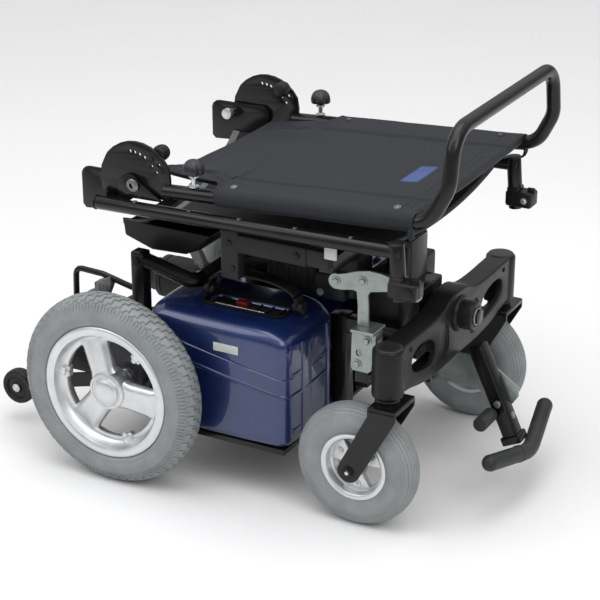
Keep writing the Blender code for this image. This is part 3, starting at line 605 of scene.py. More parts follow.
def driveTyreProfile(tyre):
    half, full = tyre["width"] / 2, tyre["radius"]
    shoulder = [(crownHeight(tyre, half * k / 10) - tyre["tread"], half * k / 10) for k in range(9)]
    shoulder += [(full - 0.0205, half * 0.925), (full - 0.0212, half * 0.952), (full - 0.0228, half * 0.955)]
    wall = [(full - 0.0245, half * 0.972), (full - 0.029, half), (full - 0.034, half * 0.995),
        (full - 0.0385, half * 0.955)]
    wall += [(full - 0.0392, half * 0.938), (full - 0.04, half * 0.944), (full - 0.043, half * 0.905)]
    wall += [(tyre["bead"] + 0.0006, half * 0.872), (tyre["bead"] - 0.0008, half * 0.84),
        (tyre["bead"] - 0.0012, half * 0.6)]
    one = shoulder + wall
    return one + [(radius, -height) for radius, height in reversed(one[1:])]


def wrapOnTyre(tyre, part, across):
    # X is height over the tread's base, Y runs round the tyre and Z across it
    for vert in part.verts:
        tall, run, z = vert.co.x, vert.co.y, vert.co.z + across
        reach = crownHeight(tyre, z) - tyre["tread"] + tall
        turn = run / tyre["radius"]
        vert.co = Vector((reach * math.cos(turn), reach * math.sin(turn), z))
    return part


def treadBlock(tyre, across, tall):
    # one zigzag block, sunk in the carcass
    run = 2 * math.pi * tyre["radius"] / tyre["blocks"]
    margin, kink = tyre["gap"] / 2, tyre["zigzag"]
    length, width = run * 0.5 - margin, tyre["rowPitch"] * 0.5 - margin
    step = length * 0.14
    half = [(-length, -kink), (-step, -kink), (step, kink), (length, kink)]
    outline = [(y, z - width) for y, z in half] + [(y, z + width) for y, z in reversed(half)]
    block = bmesh.new()
    base = [block.verts.new((-0.002, y, z)) for y, z in outline]
    brow = [block.verts.new((tall - 0.0005, y, z)) for y, z in outline]
    top = [block.verts.new((tall, y * 0.94, z * 0.92)) for y, z in outline]
    for k in range(8):
        after = (k + 1) % 8
        block.faces.new((base[k], base[after], brow[after], brow[k]))
        block.faces.new((brow[k], brow[after], top[after], top[k]))
    for k in range(3):
        block.faces.new((top[k], top[k + 1], top[6 - k], top[7 - k]))
    block.faces.new(list(reversed(base)))
    return wrapOnTyre(tyre, block, across)


def shoulderRib(tyre, side):
    half = tyre["width"] / 2
    rib = bmesh.new()
    low, high = 0.76 * half, 0.935 * half
    run = math.pi * tyre["radius"] / tyre["shoulderRibs"]
    blockInto(rib, (-0.002, -run * 0.56, low), (tyre["tread"] - 0.0002, run * 0.56, (low + high) / 2), 0.0)
    blockInto(rib, (-0.002, -run * 0.56, (low + high) / 2), (tyre["tread"] - 0.0008, run * 0.56, high), 0.0)
    wrapOnTyre(tyre, rib, 0.0)
    if side < 0:
        bmesh.ops.transform(rib, matrix=Matrix.Diagonal((1, 1, -1, 1)), verts=rib.verts)
        bmesh.ops.reverse_faces(rib, faces=rib.faces)
    return rib


def makeDriveTyre(label, side):
    tyre, body = driveTyre, f"rear_wheel_{label}"
    place = onAxle(side * wheelX, 0, axleZ, side)
    bm = lathe(bmesh.new(), driveTyreProfile(tyre), place, 144, closed=True)
    finish(fromBm(f"driveTyre_{label}", bm, 40), body, "tyre", f"rear_tyre_{label}")
    rows = bmesh.new()
    for row in range(tyre["rows"]):
        across = (row - (tyre["rows"] - 1) / 2) * tyre["rowPitch"]
        phase = math.pi / tyre["blocks"] * (row % 2)
        part = copiesRound("treadRow", treadBlock(tyre, across, tyre["tread"]), tyre["blocks"], "tyre",
            place, phase)
        addObject(rows, part)
    for edge in (-1, 1):
        addObject(rows, copiesRound("ribs", shoulderRib(tyre, edge), tyre["shoulderRibs"], "tyre", place))
    finish(fromBm(f"driveTread_{label}", rows, 25, recalc=False), body, "tyre", ())


driveRim = {
    "edge": 0.1115, "lipInner": 0.0955, "barrel": 0.0885, "hub": 0.0315, "hubFace": 0.0195,
    "spokes": 3, "firstSpoke": 69, "hubWidth": 0.043, "rimWidth": 0.05, "bossRadius": 0.0838,
}


def makeDriveRim(label, side):
    rim, body = driveRim, f"rear_wheel_{label}"
    place = onAxle(side * wheelX, 0, axleZ, side)
    edge, inner, barrel, hub, face = rim["edge"], rim["lipInner"], rim["barrel"], rim["hub"], rim["hubFace"]
    lip = [(edge, 0.02), (edge, 0.0232), (edge - 0.0014, 0.0252), (edge - 0.0045, 0.0262),
        (inner + 0.004, 0.0252)]
    lip += [(inner + 0.001, 0.0238), (inner, 0.0215), (inner - 0.001, 0.0135), (barrel + 0.0012, 0.0085)]
    lip += [(barrel, 0.0075), (barrel - 0.0052, 0.0068), (barrel - 0.0062, 0.0055), (barrel - 0.0062, 0.002)]
    back = [(barrel - 0.0055, -0.0035), (barrel, -0.006), (inner - 0.002, -0.014), (inner, -0.0215),
        (inner + 0.004, -0.0252)]
    back += [(edge - 0.0045, -0.0262), (edge - 0.0014, -0.025), (edge, -0.0232), (edge, -0.0195),
        (edge - 0.004, -0.01)]
    bm = lathe(bmesh.new(), lip + back + [(edge - 0.004, 0.01)], place, 128, closed=True)
    nave = [(0, -0.015), (hub - 0.004, -0.015), (hub - 0.0015, -0.014), (hub, -0.012), (hub, face - 0.0035)]
    nave += [(hub - 0.0008, face - 0.0012), (hub - 0.0028, face), (0.0262, face + 0.0004),
        (0.0252, face - 0.001)]
    nave += [(0.0238, face - 0.0012), (0.0228, face + 0.0002), (0.0, face + 0.0002)]
    lathe(bm, nave, place, 72)
    for k in range(rim["spokes"]):
        angle = math.radians(rim["firstSpoke"] + 120 * k)
        spokeInto(bm, rim, place @ turnInWheel(angle, side))
        bossAngle = angle + math.radians(60)
        bossInto(bm, rim, place @ turnInWheel(bossAngle, side))
    bmesh.ops.recalc_face_normals(bm, faces=bm.faces)
    finish(fromBm(f"driveRim_{label}", bm, 38), body, "silver", f"rear_rim_{label}")
    spots = []
    for k in range(rim["spokes"]):
        angle = math.radians(rim["firstSpoke"] + 60 + 120 * k)
        turn = place @ turnInWheel(angle, side)
        spots.append((turn @ Vector((rim["bossRadius"] - 0.005, 0, 0.0104)),
            turn.to_3x3() @ Vector((0, 0, 1))))
    fixings(f"rimBolts_{label}", body, spots, 0.0034, 0.0022, "steel")
    cap = [(0, 0.0258), (0.009, 0.0254), (0.015, 0.0243), (0.018, 0.0232), (0.0186, 0.0226), (0.0196, 0.0227)]
    cap += [(0.0214, 0.0216), (0.0222, 0.02), (0.0222, face - 0.001)]
    bm = lathe(bmesh.new(), [(0, face - 0.001)] + list(reversed(cap)), place, 64)
    finish(fromBm(f"hubCap_{label}", bm, 30), body, "silver", f"hub_cap_{label}")
    axle = rodInto(bmesh.new(), (side * 0.172, 0, axleZ), (side * (wheelX - 0.01), 0, axleZ), 0.01, 0.0012,
        28)
    rodInto(axle, (side * 0.2268, 0, axleZ), (side * 0.242, 0, axleZ), 0.017, 0.0012, 28)
    finish(fromBm(f"driveAxle_{label}", axle, 35), body, "steel")


def turnInWheel(angle, side):
    # local X points along the spoke, angle counted in the chair's YZ plane from +Y up
    outward = Vector((0, math.cos(angle), math.sin(angle)))
    local = (Matrix.Rotation(side * math.pi / 2, 4, "Y")).inverted() @ outward
    return Matrix.Rotation(math.atan2(local.y, local.x), 4, "Z")


def spokeInto(bm, rim, place):
    # a broad hollow-backed spoke, crowned with a crisp shoulder line along each edge
    stations = 12
    start, end = rim["hub"] - 0.006, rim["barrel"] - 0.003
    rings = []
    for k in range(stations):
        t = k / (stations - 1)
        reach = start + (end - start) * t
        flare = 0.006 * max(0.0, t - 0.75) ** 2 * 16
        wide = (rim["hubWidth"] + (rim["rimWidth"] - rim["hubWidth"]) * t) / 2 + flare
        if t < 0.12:
            wide += 0.003 * (1 - t / 0.12)
        top = rim["hubFace"] - 0.0025 - 0.0085 * t ** 1.2
        low = top - 0.0165 + 0.0035 * t
        section = [(-wide, low), (-wide - 0.0006, top - 0.0085), (-wide + 0.001, top - 0.005),
            (-wide + 0.006, top - 0.0012)]
        section += [(-wide + 0.009, top - 0.0004), (-wide * 0.35, top - 0.0012), (0, top - 0.0016)]
        section += [(-y, z) for y, z in reversed(section[:-1])]
        section += [(wide - 0.005, low), (wide - 0.005, low + 0.004), (-wide + 0.005, low + 0.004),
            (-wide + 0.005, low)]
        rings.append([bm.verts.new(place @ Vector((reach, y, z))) for y, z in section])
    count = len(rings[0])
    for one, two in zip(rings, rings[1:]):
        for k in range(count):
            bm.faces.new((one[k], one[(k + 1) % count], two[(k + 1) % count], two[k]))
    bm.faces.new(list(reversed(rings[0])))
    bm.faces.new(rings[-1])


def bossInto(bm, rim, place):
    # clamping boss on the inner edge of the barrel
    reach = rim["bossRadius"]
    blockInto(bm, (reach - 0.0075, -0.0095, -0.003), (reach + 0.009, 0.0095, 0.0102), 0.003, 3, place)
    blockInto(bm, (reach - 0.002, -0.0065, 0.006), (reach + 0.013, 0.0065, 0.015), 0.003, 3, place)


for label, side in sides.items():
    makeDriveTyre(label, side)
    makeDriveRim(label, side)
print("drive wheels made")


# castors
castorTyre = {"radius": 0.1, "width": 0.05, "bead": 0.0562,
    "grooves": (0.0035, 0.0085, 0.013, 0.0172, 0.0208)}


def castorTyreProfile(tyre):
    half, full = tyre["width"] / 2, tyre["radius"]

    def surface(across):
        return full - 0.0195 * (abs(across) / half) ** 2.9

    points = []
    for k in range(7):
        points.append((surface(tyre["grooves"][0] * k / 7), tyre["grooves"][0] * k / 7))
    for spot in tyre["grooves"]:
        points += [(surface(spot - 0.0006), spot - 0.0006), (surface(spot) - 0.0011, spot - 0.0002)]
        points += [(surface(spot) - 0.0011, spot + 0.0003), (surface(spot + 0.0007), spot + 0.0007)]
        if spot != tyre["grooves"][-1]:
            points.append((surface(spot + 0.0021), spot + 0.0021))
    wall = [(full - 0.0155, half * 0.915), (full - 0.016, half * 0.9), (full - 0.0168, half * 0.93),
        (full - 0.0195, half * 0.975)]
    wall += [(full - 0.02, half * 0.962), (full - 0.0208, half * 0.98), (full - 0.025, half),
        (full - 0.03, half * 0.985)]
    wall += [(full - 0.0355, half * 0.93), (full - 0.04, half * 0.855), (tyre["bead"] + 0.0008, half * 0.79)]
    wall += [(tyre["bead"] - 0.0006, half * 0.74), (tyre["bead"] - 0.0008, half * 0.5)]
    one = points + wall
    return one + [(radius, -height) for radius, height in reversed(one[1:])]


castorRim = {"edge": 0.0556, "inner": 0.0462, "well": 0.0425, "pads": 3, "firstPad": 28, "padReach": 0.0335}


def makeCastorWheel(label, side):
    middle = midOf(f"castor_rim_{label}")
    body = f"castor_wheel_{label}"
    place = onAxle(middle.x, middle.y, middle.z, side)
    bm = lathe(bmesh.new(), castorTyreProfile(castorTyre), place, 112, closed=True)
    finish(fromBm(f"castorTyre_{label}", bm, 32), body, "tyre", f"castor_tyre_{label}")
    rim = castorRim
    edge, inner, well = rim["edge"], rim["inner"], rim["well"]
    lip = [(edge, 0.015), (edge, 0.018), (edge - 0.0008, 0.0194), (edge - 0.003, 0.02),
        (inner + 0.0022, 0.019)]
    lip += [(inner + 0.0006, 0.0178), (inner, 0.016), (inner - 0.0008, 0.006), (well, 0.0042),
        (well - 0.0008, 0.002)]
    lip += [(r, -h) for r, h in reversed(lip)]
    bm = lathe(bmesh.new(), lip, place, 88, closed=True)
    nave = [(0.0068, -0.0238), (0.0125, -0.0238), (0.014, -0.0222), (0.015, -0.009), (0.018, -0.005),
        (0.018, 0.005)]
    nave += [(0.015, 0.009), (0.014, 0.0222), (0.0125, 0.0238), (0.0068, 0.0238)]
    lathe(bm, nave, place, 48, closed=True)
    spots = []
    for k in range(rim["pads"]):
        angle = math.radians(rim["firstPad"] + 120 * k)
        turn = place @ turnInWheel(angle, side)
        padInto(bm, rim, turn)
        for face in (-1, 1):
            spots.append((turn @ Vector((rim["padReach"], 0, face * 0.0074)),
                turn.to_3x3() @ Vector((0, 0, face))))
    finish(fromBm(f"castorRim_{label}", bm, 38), body, "silver", f"castor_rim_{label}")
    fixings(f"castorScrews_{label}", body, spots, 0.003, 0.0018, "steel", 6, 0.0044)


def padInto(bm, rim, place):
    # wide spoke with a raised pad for the screw
    part = bmesh.new()
    outline = arcOf((0, 0), rim["well"] + 0.002, -30, 30, 9) + [(0.015, 0.0085), (0.015, -0.0085)]
    low, high = [[part.verts.new((x, y, height)) for x, y in outline] for height in (-0.0055, 0.0055)]
    part.faces.new(low)
    part.faces.new(high)
    for k in range(len(outline)):
        after = (k + 1) % len(outline)
        part.faces.new((low[k], low[after], high[after], high[k]))
    bmesh.ops.recalc_face_normals(part, faces=part.faces)
    bmesh.ops.bevel(part, geom=part.edges[:], offset=0.0016, segments=3, profile=0.5, affect="EDGES")
    bmesh.ops.transform(part, matrix=place, verts=part.verts)
    addInto(bm, part)
    for face in (-1, 1):
        start, end = Vector((rim["padReach"], 0, 0)), Vector((rim["padReach"], 0, face * 0.0074))
        rodInto(bm, place @ start, place @ end, 0.0066, 0.001, 24)


castorFork = {"thick": 0.005, "reach": 0.033, "frontY": -0.482, "rearY": -0.436, "top": 0.215, "eye": 0.0185}


def makeFork(label):
    fork, body = castorFork, f"castor_fork_{label}"
    hub = midOf(f"castor_rim_{label}")
    swivelY, x = -0.453, hub.x
    outline = [(fork["frontY"] + 0.004, fork["top"]), (fork["frontY"], fork["top"] - 0.004),
        (fork["frontY"], 0.2)]
    outline += arcOf((hub.y, hub.z), fork["eye"], 205, 385, 19)
    outline += [(fork["rearY"], 0.2), (fork["rearY"], fork["top"] - 0.004),
        (fork["rearY"] - 0.004, fork["top"])]
    bm = bmesh.new()
    for offset in (-fork["reach"], fork["reach"]):
        addObject(bm, plate("arm", outline, fork["thick"], sideways(x + offset), (), 0.0012))
    reach = fork["reach"] + fork["thick"] / 2
    blockInto(bm, (x - reach, fork["frontY"], 0.207), (x + reach, fork["rearY"], 0.2152), 0.002, 3)
    rodInto(bm, (x, swivelY, 0.214), (x, swivelY, 0.2225), 0.0195, 0.0012, 40)
    finish(fromBm(f"forkPlates_{label}", bm, 38), body, "black", f"castor_fork_{label}")
    steel = rodInto(bmesh.new(), (x - 0.034, hub.y, hub.z), (x + 0.034, hub.y, hub.z), 0.006, 0.0005, 24)
    rodInto(steel, (x, swivelY, 0.21), (x, swivelY, 0.284), 0.011, 0.0008, 28)
    finish(fromBm(f"forkAxle_{label}", steel, 35), body, "steel")
    spots = [((x + face * 0.0356, hub.y, hub.z), (face, 0, 0)) for face in (-1, 1)]
    fixings(f"axleBolts_{label}", body, spots, 0.0076, 0.0042, "plastic", 6, 0.0105)
    tips = [((x + face * 0.0392, hub.y, hub.z), (face, 0, 0)) for face in (-1, 1)]
    fixings(f"axleTips_{label}", body, tips, 0.0034, 0.0016, "steel", 16, 0.004)


for label, side in sides.items():
    makeCastorWheel(label, side)
    makeFork(label)
print("castors made")


# battery boxes
batteryBox = {
    "corner": 0.022, "crown": 0.0022,
    "seamRear": 0.224, "seamFront": 0.18, "bead": 0.004, "grooveLift": 0.03,
    "recessHalf": 0.027, "recessFront": -0.246, "recessRear": -0.106, "recessFloor": 0.276,
}


def roundedLoop(low, high, radius, count=9, bulge=0.0):
    # corners counted from +x,+y round; straight sides get extra points so a crown can show
    points = []
    corners = ((high[0] - radius, high[1] - radius, 0), (low[0] + radius, high[1] - radius, 90),
               (low[0] + radius, low[1] + radius, 180), (high[0] - radius, low[1] + radius, 270))
    for x, y, start in corners:
        points += arcOf((x, y), radius, start, start + 90, count)
    full = []
    for k, point in enumerate(points):
        after = points[(k + 1) % len(points)]
        full.append(point)
        gap = math.dist(point, after)
        if gap > 0.02:
            steps = 10
            dx, dy = (after[1] - point[1]) / gap, (point[0] - after[0]) / gap
            for step in range(1, steps):
                t = step / steps
                push = bulge * (1 - (2 * t - 1) ** 2)
                full.append((point[0] + (after[0] - point[0]) * t + dx * push,
                    point[1] + (after[1] - point[1]) * t + dy * push))
    return full


def seamHeight(y, rear, front):
    # the sloping parting line along the side of the box
    t = min(1.0, max(0.0, (y - front) / (rear - front)))
    return batteryBox["seamFront"] + (batteryBox["seamRear"] - batteryBox["seamFront"]) * t


def makeBattery(label, side):
    box = batteryBox
    low, high = boxOf(f"battery_case_{label}")
    lidHigh = boxOf(f"battery_lid_{label}")[1]
    inner, outer = min(abs(low.x), abs(high.x)), max(abs(low.x), abs(high.x))
    rear, front, bottom, top = high.y, low.y, low.z, min(lidHigh.z, 0.2912)
    # levels: height, inset from the wall, extra inset at the outer shoulder
    lower = [(bottom, 0.0095), (bottom + 0.0025, 0.004), (bottom + 0.0075, 0.001), (bottom + 0.012, 0.0)]
    lower += [(bottom + 0.012 + (0.17 - bottom - 0.012) * k / 4, 0.0) for k in range(1, 5)]
    bm = bmesh.new()
    rings = []
    for height, inset in lower + [("seam", 0.0), ("seamIn", 0.004)]:
        loop = roundedLoop((inner + inset, front + inset), (outer - inset, rear - inset),
            box["corner"] - min(inset, 0.009),
                           9, box["crown"])
        ring = []
        for x, y in loop:
            z = height if not isinstance(height, str) else seamHeight(y, rear, front) - 0.0016
            ring.append(bm.verts.new((side * x, y, z)))
        rings.append(ring)
    loftInto(bm, rings)
    finish(fromBm(f"batteryTub_{label}", bm, 30), "chassis", "blue", f"battery_case_{label}")
    bead = bmesh.new()
    loop = roundedLoop((inner + 0.001, front + 0.001), (outer - 0.001, rear - 0.001), box["corner"], 9,
        box["crown"])
    route = [Vector((side * x, y, seamHeight(y, rear, front))) for x, y in loop]
    sweepInto(bead, route, box["bead"], 10, flatten=(0.8, 1.0))
    finish(fromBm(f"lidBead_{label}", bead, 40), "chassis", "blue", ())
    makeLid(label, side, inner, outer, front, rear, top)


def shoulderProfile():
    # inset from the wall against drop below the lid's top, easing in like the real moulding
    points = [(0.0, 0.048), (0.0, 0.036), (0.0004, 0.03)]
    for k in range(1, 10):
        t = math.radians(90 * k / 9)
        points.append((0.0004 + 0.03 * (1 - math.cos(t)) ** 1.15, 0.03 * (1 - math.sin(t)) ** 1.08))
    return points


def makeLid(label, side, inner, outer, front, rear, top):
    box = batteryBox
    bm = bmesh.new()
    rings = []
    profile = shoulderProfile()
    grooveDrop = box["grooveLift"]
    low = roundedLoop((inner + 0.002, front + 0.002), (outer - 0.002, rear - 0.002), box["corner"] - 0.001,
        9, box["crown"])
    rings.append([bm.verts.new((side * x, y, seamHeight(y, rear, front) - 0.001)) for x, y in low])
    for lift, inset in ((0.0008, 0.0), (grooveDrop - 0.0022, 0.0), (grooveDrop - 0.0012, 0.0),
        (grooveDrop, 0.0011),
                        (grooveDrop + 0.0012, 0.0002), (grooveDrop + 0.003, 0.0)):
        ring = []
        for x, y in roundedLoop((inner + inset, front + inset), (outer - inset, rear - inset),
            box["corner"], 9, box["crown"]):
            ring.append(bm.verts.new((side * x, y, seamHeight(y, rear, front) + lift)))
        rings.append(ring)
    for inset, drop in profile[1:]:
        ring = []
        corner = box["corner"] + 0.35 * inset
        loop = roundedLoop((inner + 0.35 * inset, front + inset * 0.9), (outer - inset, rear - 0.5 * inset),
            corner, 9,
                           box["crown"] * (1 - inset / 0.032))
        for x, y in loop:
            dip = 0.0075 * max(0.0, (front + 0.055 - y) / 0.055) ** 2   # the top falls towards the front
            ring.append(bm.verts.new((side * x, y, top - drop - dip * (1 - drop / 0.05))))
        rings.append(ring)
    loftInto(bm, rings)
    lid = fromBm(f"batteryLid_{label}", bm, 30)
    # the recess for the carrying handle
    middle = (inner + outer) / 2
    cutter = bmesh.new()
    blockInto(cutter, (side * middle - box["recessHalf"], box["recessFront"], box["recessFloor"]),
              (side * middle + box["recessHalf"], box["recessRear"], 0.33), 0.01, 4)
    lid = carve(lid, [fromBm("recessCutter", cutter, 0)])
    finish(lid, "chassis", "blue", f"battery_lid_{label}")
    frontPanels(label, side, inner, outer, front)
    inlay(label, side, middle)


def frontPanels(label, side, inner, outer, front):
    # raised ribs between the recessed panels of the front wall, over and under the seam
    bm = bmesh.new()
    for start, end in ((outer - 0.079, outer - 0.046), (outer - 0.142, outer - 0.129)):
        x0, x1 = sorted((side * start, side * end))
        blockInto(bm, (x0, front - 0.0034, 0.104), (x1, front + 0.004, 0.262), 0.003, 4)
    for z in (0.2135, 0.1185):
        x0, x1 = sorted((side * (inner + 0.014), side * (outer - 0.02)))
        blockInto(bm, (x0, front - 0.0022, z - 0.0042), (x1, front + 0.003, z + 0.0042), 0.002, 3)
    finish(fromBm(f"caseRibs_{label}", bm, 40), "chassis", "blue", ())


def inlay(label, side, middle):
    # black tray under the handle with a fuse bar and a red release
    box = batteryBox
    bm = bmesh.new()
    half, front, rear, floor = box["recessHalf"], box["recessFront"], box["recessRear"], box["recessFloor"]
    rim = roundedLoop((middle - half - 0.0045, front - 0.0045), (middle + half + 0.0045, rear + 0.0045),
        0.013, 7)
    lip = roundedLoop((middle - half + 0.0002, front + 0.0002), (middle + half - 0.0002, rear - 0.0002),
        0.01, 7)
    rings = []
    for loop, z in ((rim, 0.291), (rim, 0.2925), (lip, 0.293), (lip, 0.291), (lip, floor + 0.0035)):
        rings.append([bm.verts.new((side * x, y, z)) for x, y in loop])
    loftInto(bm, rings, closeStart=False)
    for k in range(6):
        y = front + 0.018 + (rear - front - 0.036) * k / 5
        blockInto(bm, (side * middle - half + 0.002, y - 0.0012, floor),
            (side * middle + half - 0.002, y + 0.0012, floor + 0.006), 0.0006, 2)
    finish(fromBm(f"lidInlay_{label}", bm, 35), "chassis", "plastic", ())
    bar = bmesh.new()
    x = side * (middle + half - 0.006)
    rodInto(bar, (x, front + 0.03, 0.2895), (x, rear - 0.022, 0.2895), 0.0022, 0.0006, 16)
    finish(fromBm(f"handleRod_{label}", bar, 35), "chassis", "steel", ())
    red = bmesh.new()
    x = side * (middle - 0.008)
    blockInto(red, (x - 0.007, -0.172, floor + 0.002), (x + 0.007, -0.15, floor + 0.013), 0.003, 3)
    finish(fromBm(f"releaseTab_{label}", red, 35), "chassis", "red")


def loftInto(bm, rings, closeStart=True, closeEnd=True):
    count = len(rings[0])
    for one, two in zip(rings, rings[1:]):
        for k in range(count):
            bm.faces.new((one[k], one[(k + 1) % count], two[(k + 1) % count], two[k]))
    if closeStart:
        bm.faces.new(list(reversed(rings[0])))
    if closeEnd:
        bm.faces.new(rings[-1])


def sweepInto(bm, route, radius, sidesRound=10, closed=True, flatten=(1.0, 1.0)):
    # a bead along a route; its section stands in the plane across the route
    rings = []
    count = len(route)
    for k, spot in enumerate(route):
        before = route[k - 1] if closed or k else route[0]
        after = route[(k + 1) % count] if closed or k < count - 1 else route[-1]
        along = (Vector(after) - Vector(before)).normalized()
        out = along.cross(Vector((0, 0, 1))).normalized()
        up = out.cross(along).normalized()
        ring = []
        for step in range(sidesRound):
            turn = 2 * math.pi * step / sidesRound
            ring.append(bm.verts.new(Vector(spot) + out * radius * flatten[0] * math.cos(turn)
                + up * radius * flatten[1] * math.sin(turn)))
        rings.append(ring)
    pairs = list(zip(rings, rings[1:])) + ([(rings[-1], rings[0])] if closed else [])
    for one, two in pairs:
        for k in range(sidesRound):
            bm.faces.new((one[k], one[(k + 1) % sidesRound], two[(k + 1) % sidesRound], two[k]))
    if not closed:
        bm.faces.new(list(reversed(rings[0])))
        bm.faces.new(rings[-1])


# carrying handles
carryHandle = {"eyeZ": 0.3025, "wide": 0.026, "thick": 0.0064}


def makeHandle(label):
    part, body = carryHandle, f"carry_handle_{label}"
    low, high = boxOf(f"carry_handle_{label}")
    x = (low.x + high.x) / 2
    eyeY = (low.y + high.y) / 2
    reach = (high.y - low.y) / 2 - 0.01
    rise = high.z - part["eyeZ"] - part["thick"] / 2
    bm = bmesh.new()
    rings = []
    steps = 40
    for k in range(steps + 1):
        t = k / steps
        turn = math.pi * t
        y = eyeY + reach * math.copysign(abs(math.cos(turn)) ** 0.8, math.cos(turn))
        z = part["eyeZ"] + rise * math.sin(turn) ** 0.72
        ahead = min(steps, k + 1) / steps * math.pi
        behind = max(0, k - 1) / steps * math.pi
        y1, z1 = eyeY + reach * math.copysign(abs(math.cos(ahead)) ** 0.8,
            math.cos(ahead)), part["eyeZ"] + rise * max(0, math.sin(ahead)) ** 0.72
        y0, z0 = eyeY + reach * math.copysign(abs(math.cos(behind)) ** 0.8,
            math.cos(behind)), part["eyeZ"] + rise * max(0, math.sin(behind)) ** 0.72
        along = Vector((0, y1 - y0, z1 - z0)).normalized()
        up = Vector((0, -along.z, along.y))
        if up.z < 0 and 0.1 < t < 0.9:
            up = -up
        spread = part["wide"] / 2 * (0.82 + 0.18 * math.sin(turn))
        thick = part["thick"] / 2
        section = [(-spread, -thick * 0.3), (-spread, thick * 0.5), (-spread + 0.002, thick),
            (-spread * 0.4, thick * 1.05), (0, thick * 1.08)]
        section += [(-a, b) for a, b in reversed(section[:-1])]
        section += [(spread - 0.002, -thick * 0.8), (spread * 0.5, -thick), (0, -thick),
            (-spread * 0.5, -thick), (-spread + 0.002, -thick * 0.8)]
        place = Vector((x, y, z))
        rings.append([bm.verts.new(place + Vector((a, 0, 0)) + up * b) for a, b in section])
    loftInto(bm, rings)
    for face in (-1, 1):
        y = eyeY + face * reach
        rodInto(bm, (x, y - 0.0092, part["eyeZ"]), (x, y + 0.0092, part["eyeZ"]), 0.0104, 0.0026, 36)
    finish(fromBm(f"handleStrap_{label}", bm, 40), body, "plastic", f"carry_handle_{label}")


def makePlate(label, side):
    # a plain nameplate, left blank
    low, high = boxOf(f"battery_case_{label}")
    outer = max(abs(low.x), abs(high.x)) + batteryBox["crown"]
    bm = bmesh.new()
    x0, x1 = sorted((side * (outer - 0.0005), side * (outer + 0.0006)))
    blockInto(bm, (x0, -0.204, 0.2405), (x1, -0.16, 0.2545), 0.0005, 2)
    finish(fromBm(f"blankPlate_{label}", bm, 40), "chassis", "pale", ())


for label, side in sides.items():
    makeBattery(label, side)
    makeHandle(label)
    makePlate(label, side)
print("battery boxes made")


# castor beam
beam = {
    "rearY": -0.4365, "frontY": -0.474, "boss": (0.212, -0.453), "bossRadius": 0.0245, "bossLow": 0.2245,
    "bossHigh": 0.3035,
    "pivotZ": 0.281, "pivotRadius": 0.0235, "pivotFront": -0.502,
    "rearHood": -0.43,
}


def beamFace():
    # the beam's outline in XZ, thick at its ends and waisted between
    half = beam["boss"][0]
    upper = [(half + 0.01, 0.303), (half - 0.018, 0.3035), (half - 0.05, 0.303), (0.12, 0.302),
        (0.08, 0.303), (0.052, 0.307)]
    upper += [(0.034, 0.316), (0.018, 0.3195), (0.0, 0.32)]
    lower = [(0.0, 0.2115), (0.05, 0.21), (0.1, 0.211), (0.14, 0.216), (half - 0.03, 0.2265),
        (half + 0.01, 0.23)]
    outline = [(-x, z) for x, z in upper] + [(x, z) for x, z in reversed(upper[:-1])]
    outline += [(x, z) for x, z in reversed(lower)] + [(-x, z) for x, z in lower[1:]]
    return outline


def smoothLoop(points, rounds=2):
    # corner cutting, so that a coarse outline reads as a fair curve
    for _ in range(rounds):
        fair = []
        for k, point in enumerate(points):
            after = points[(k + 1) % len(points)]
            fair.append((0.75 * point[0] + 0.25 * after[0], 0.75 * point[1] + 0.25 * after[1]))
            fair.append((0.25 * point[0] + 0.75 * after[0], 0.25 * point[1] + 0.75 * after[1]))
        points = fair
    return points


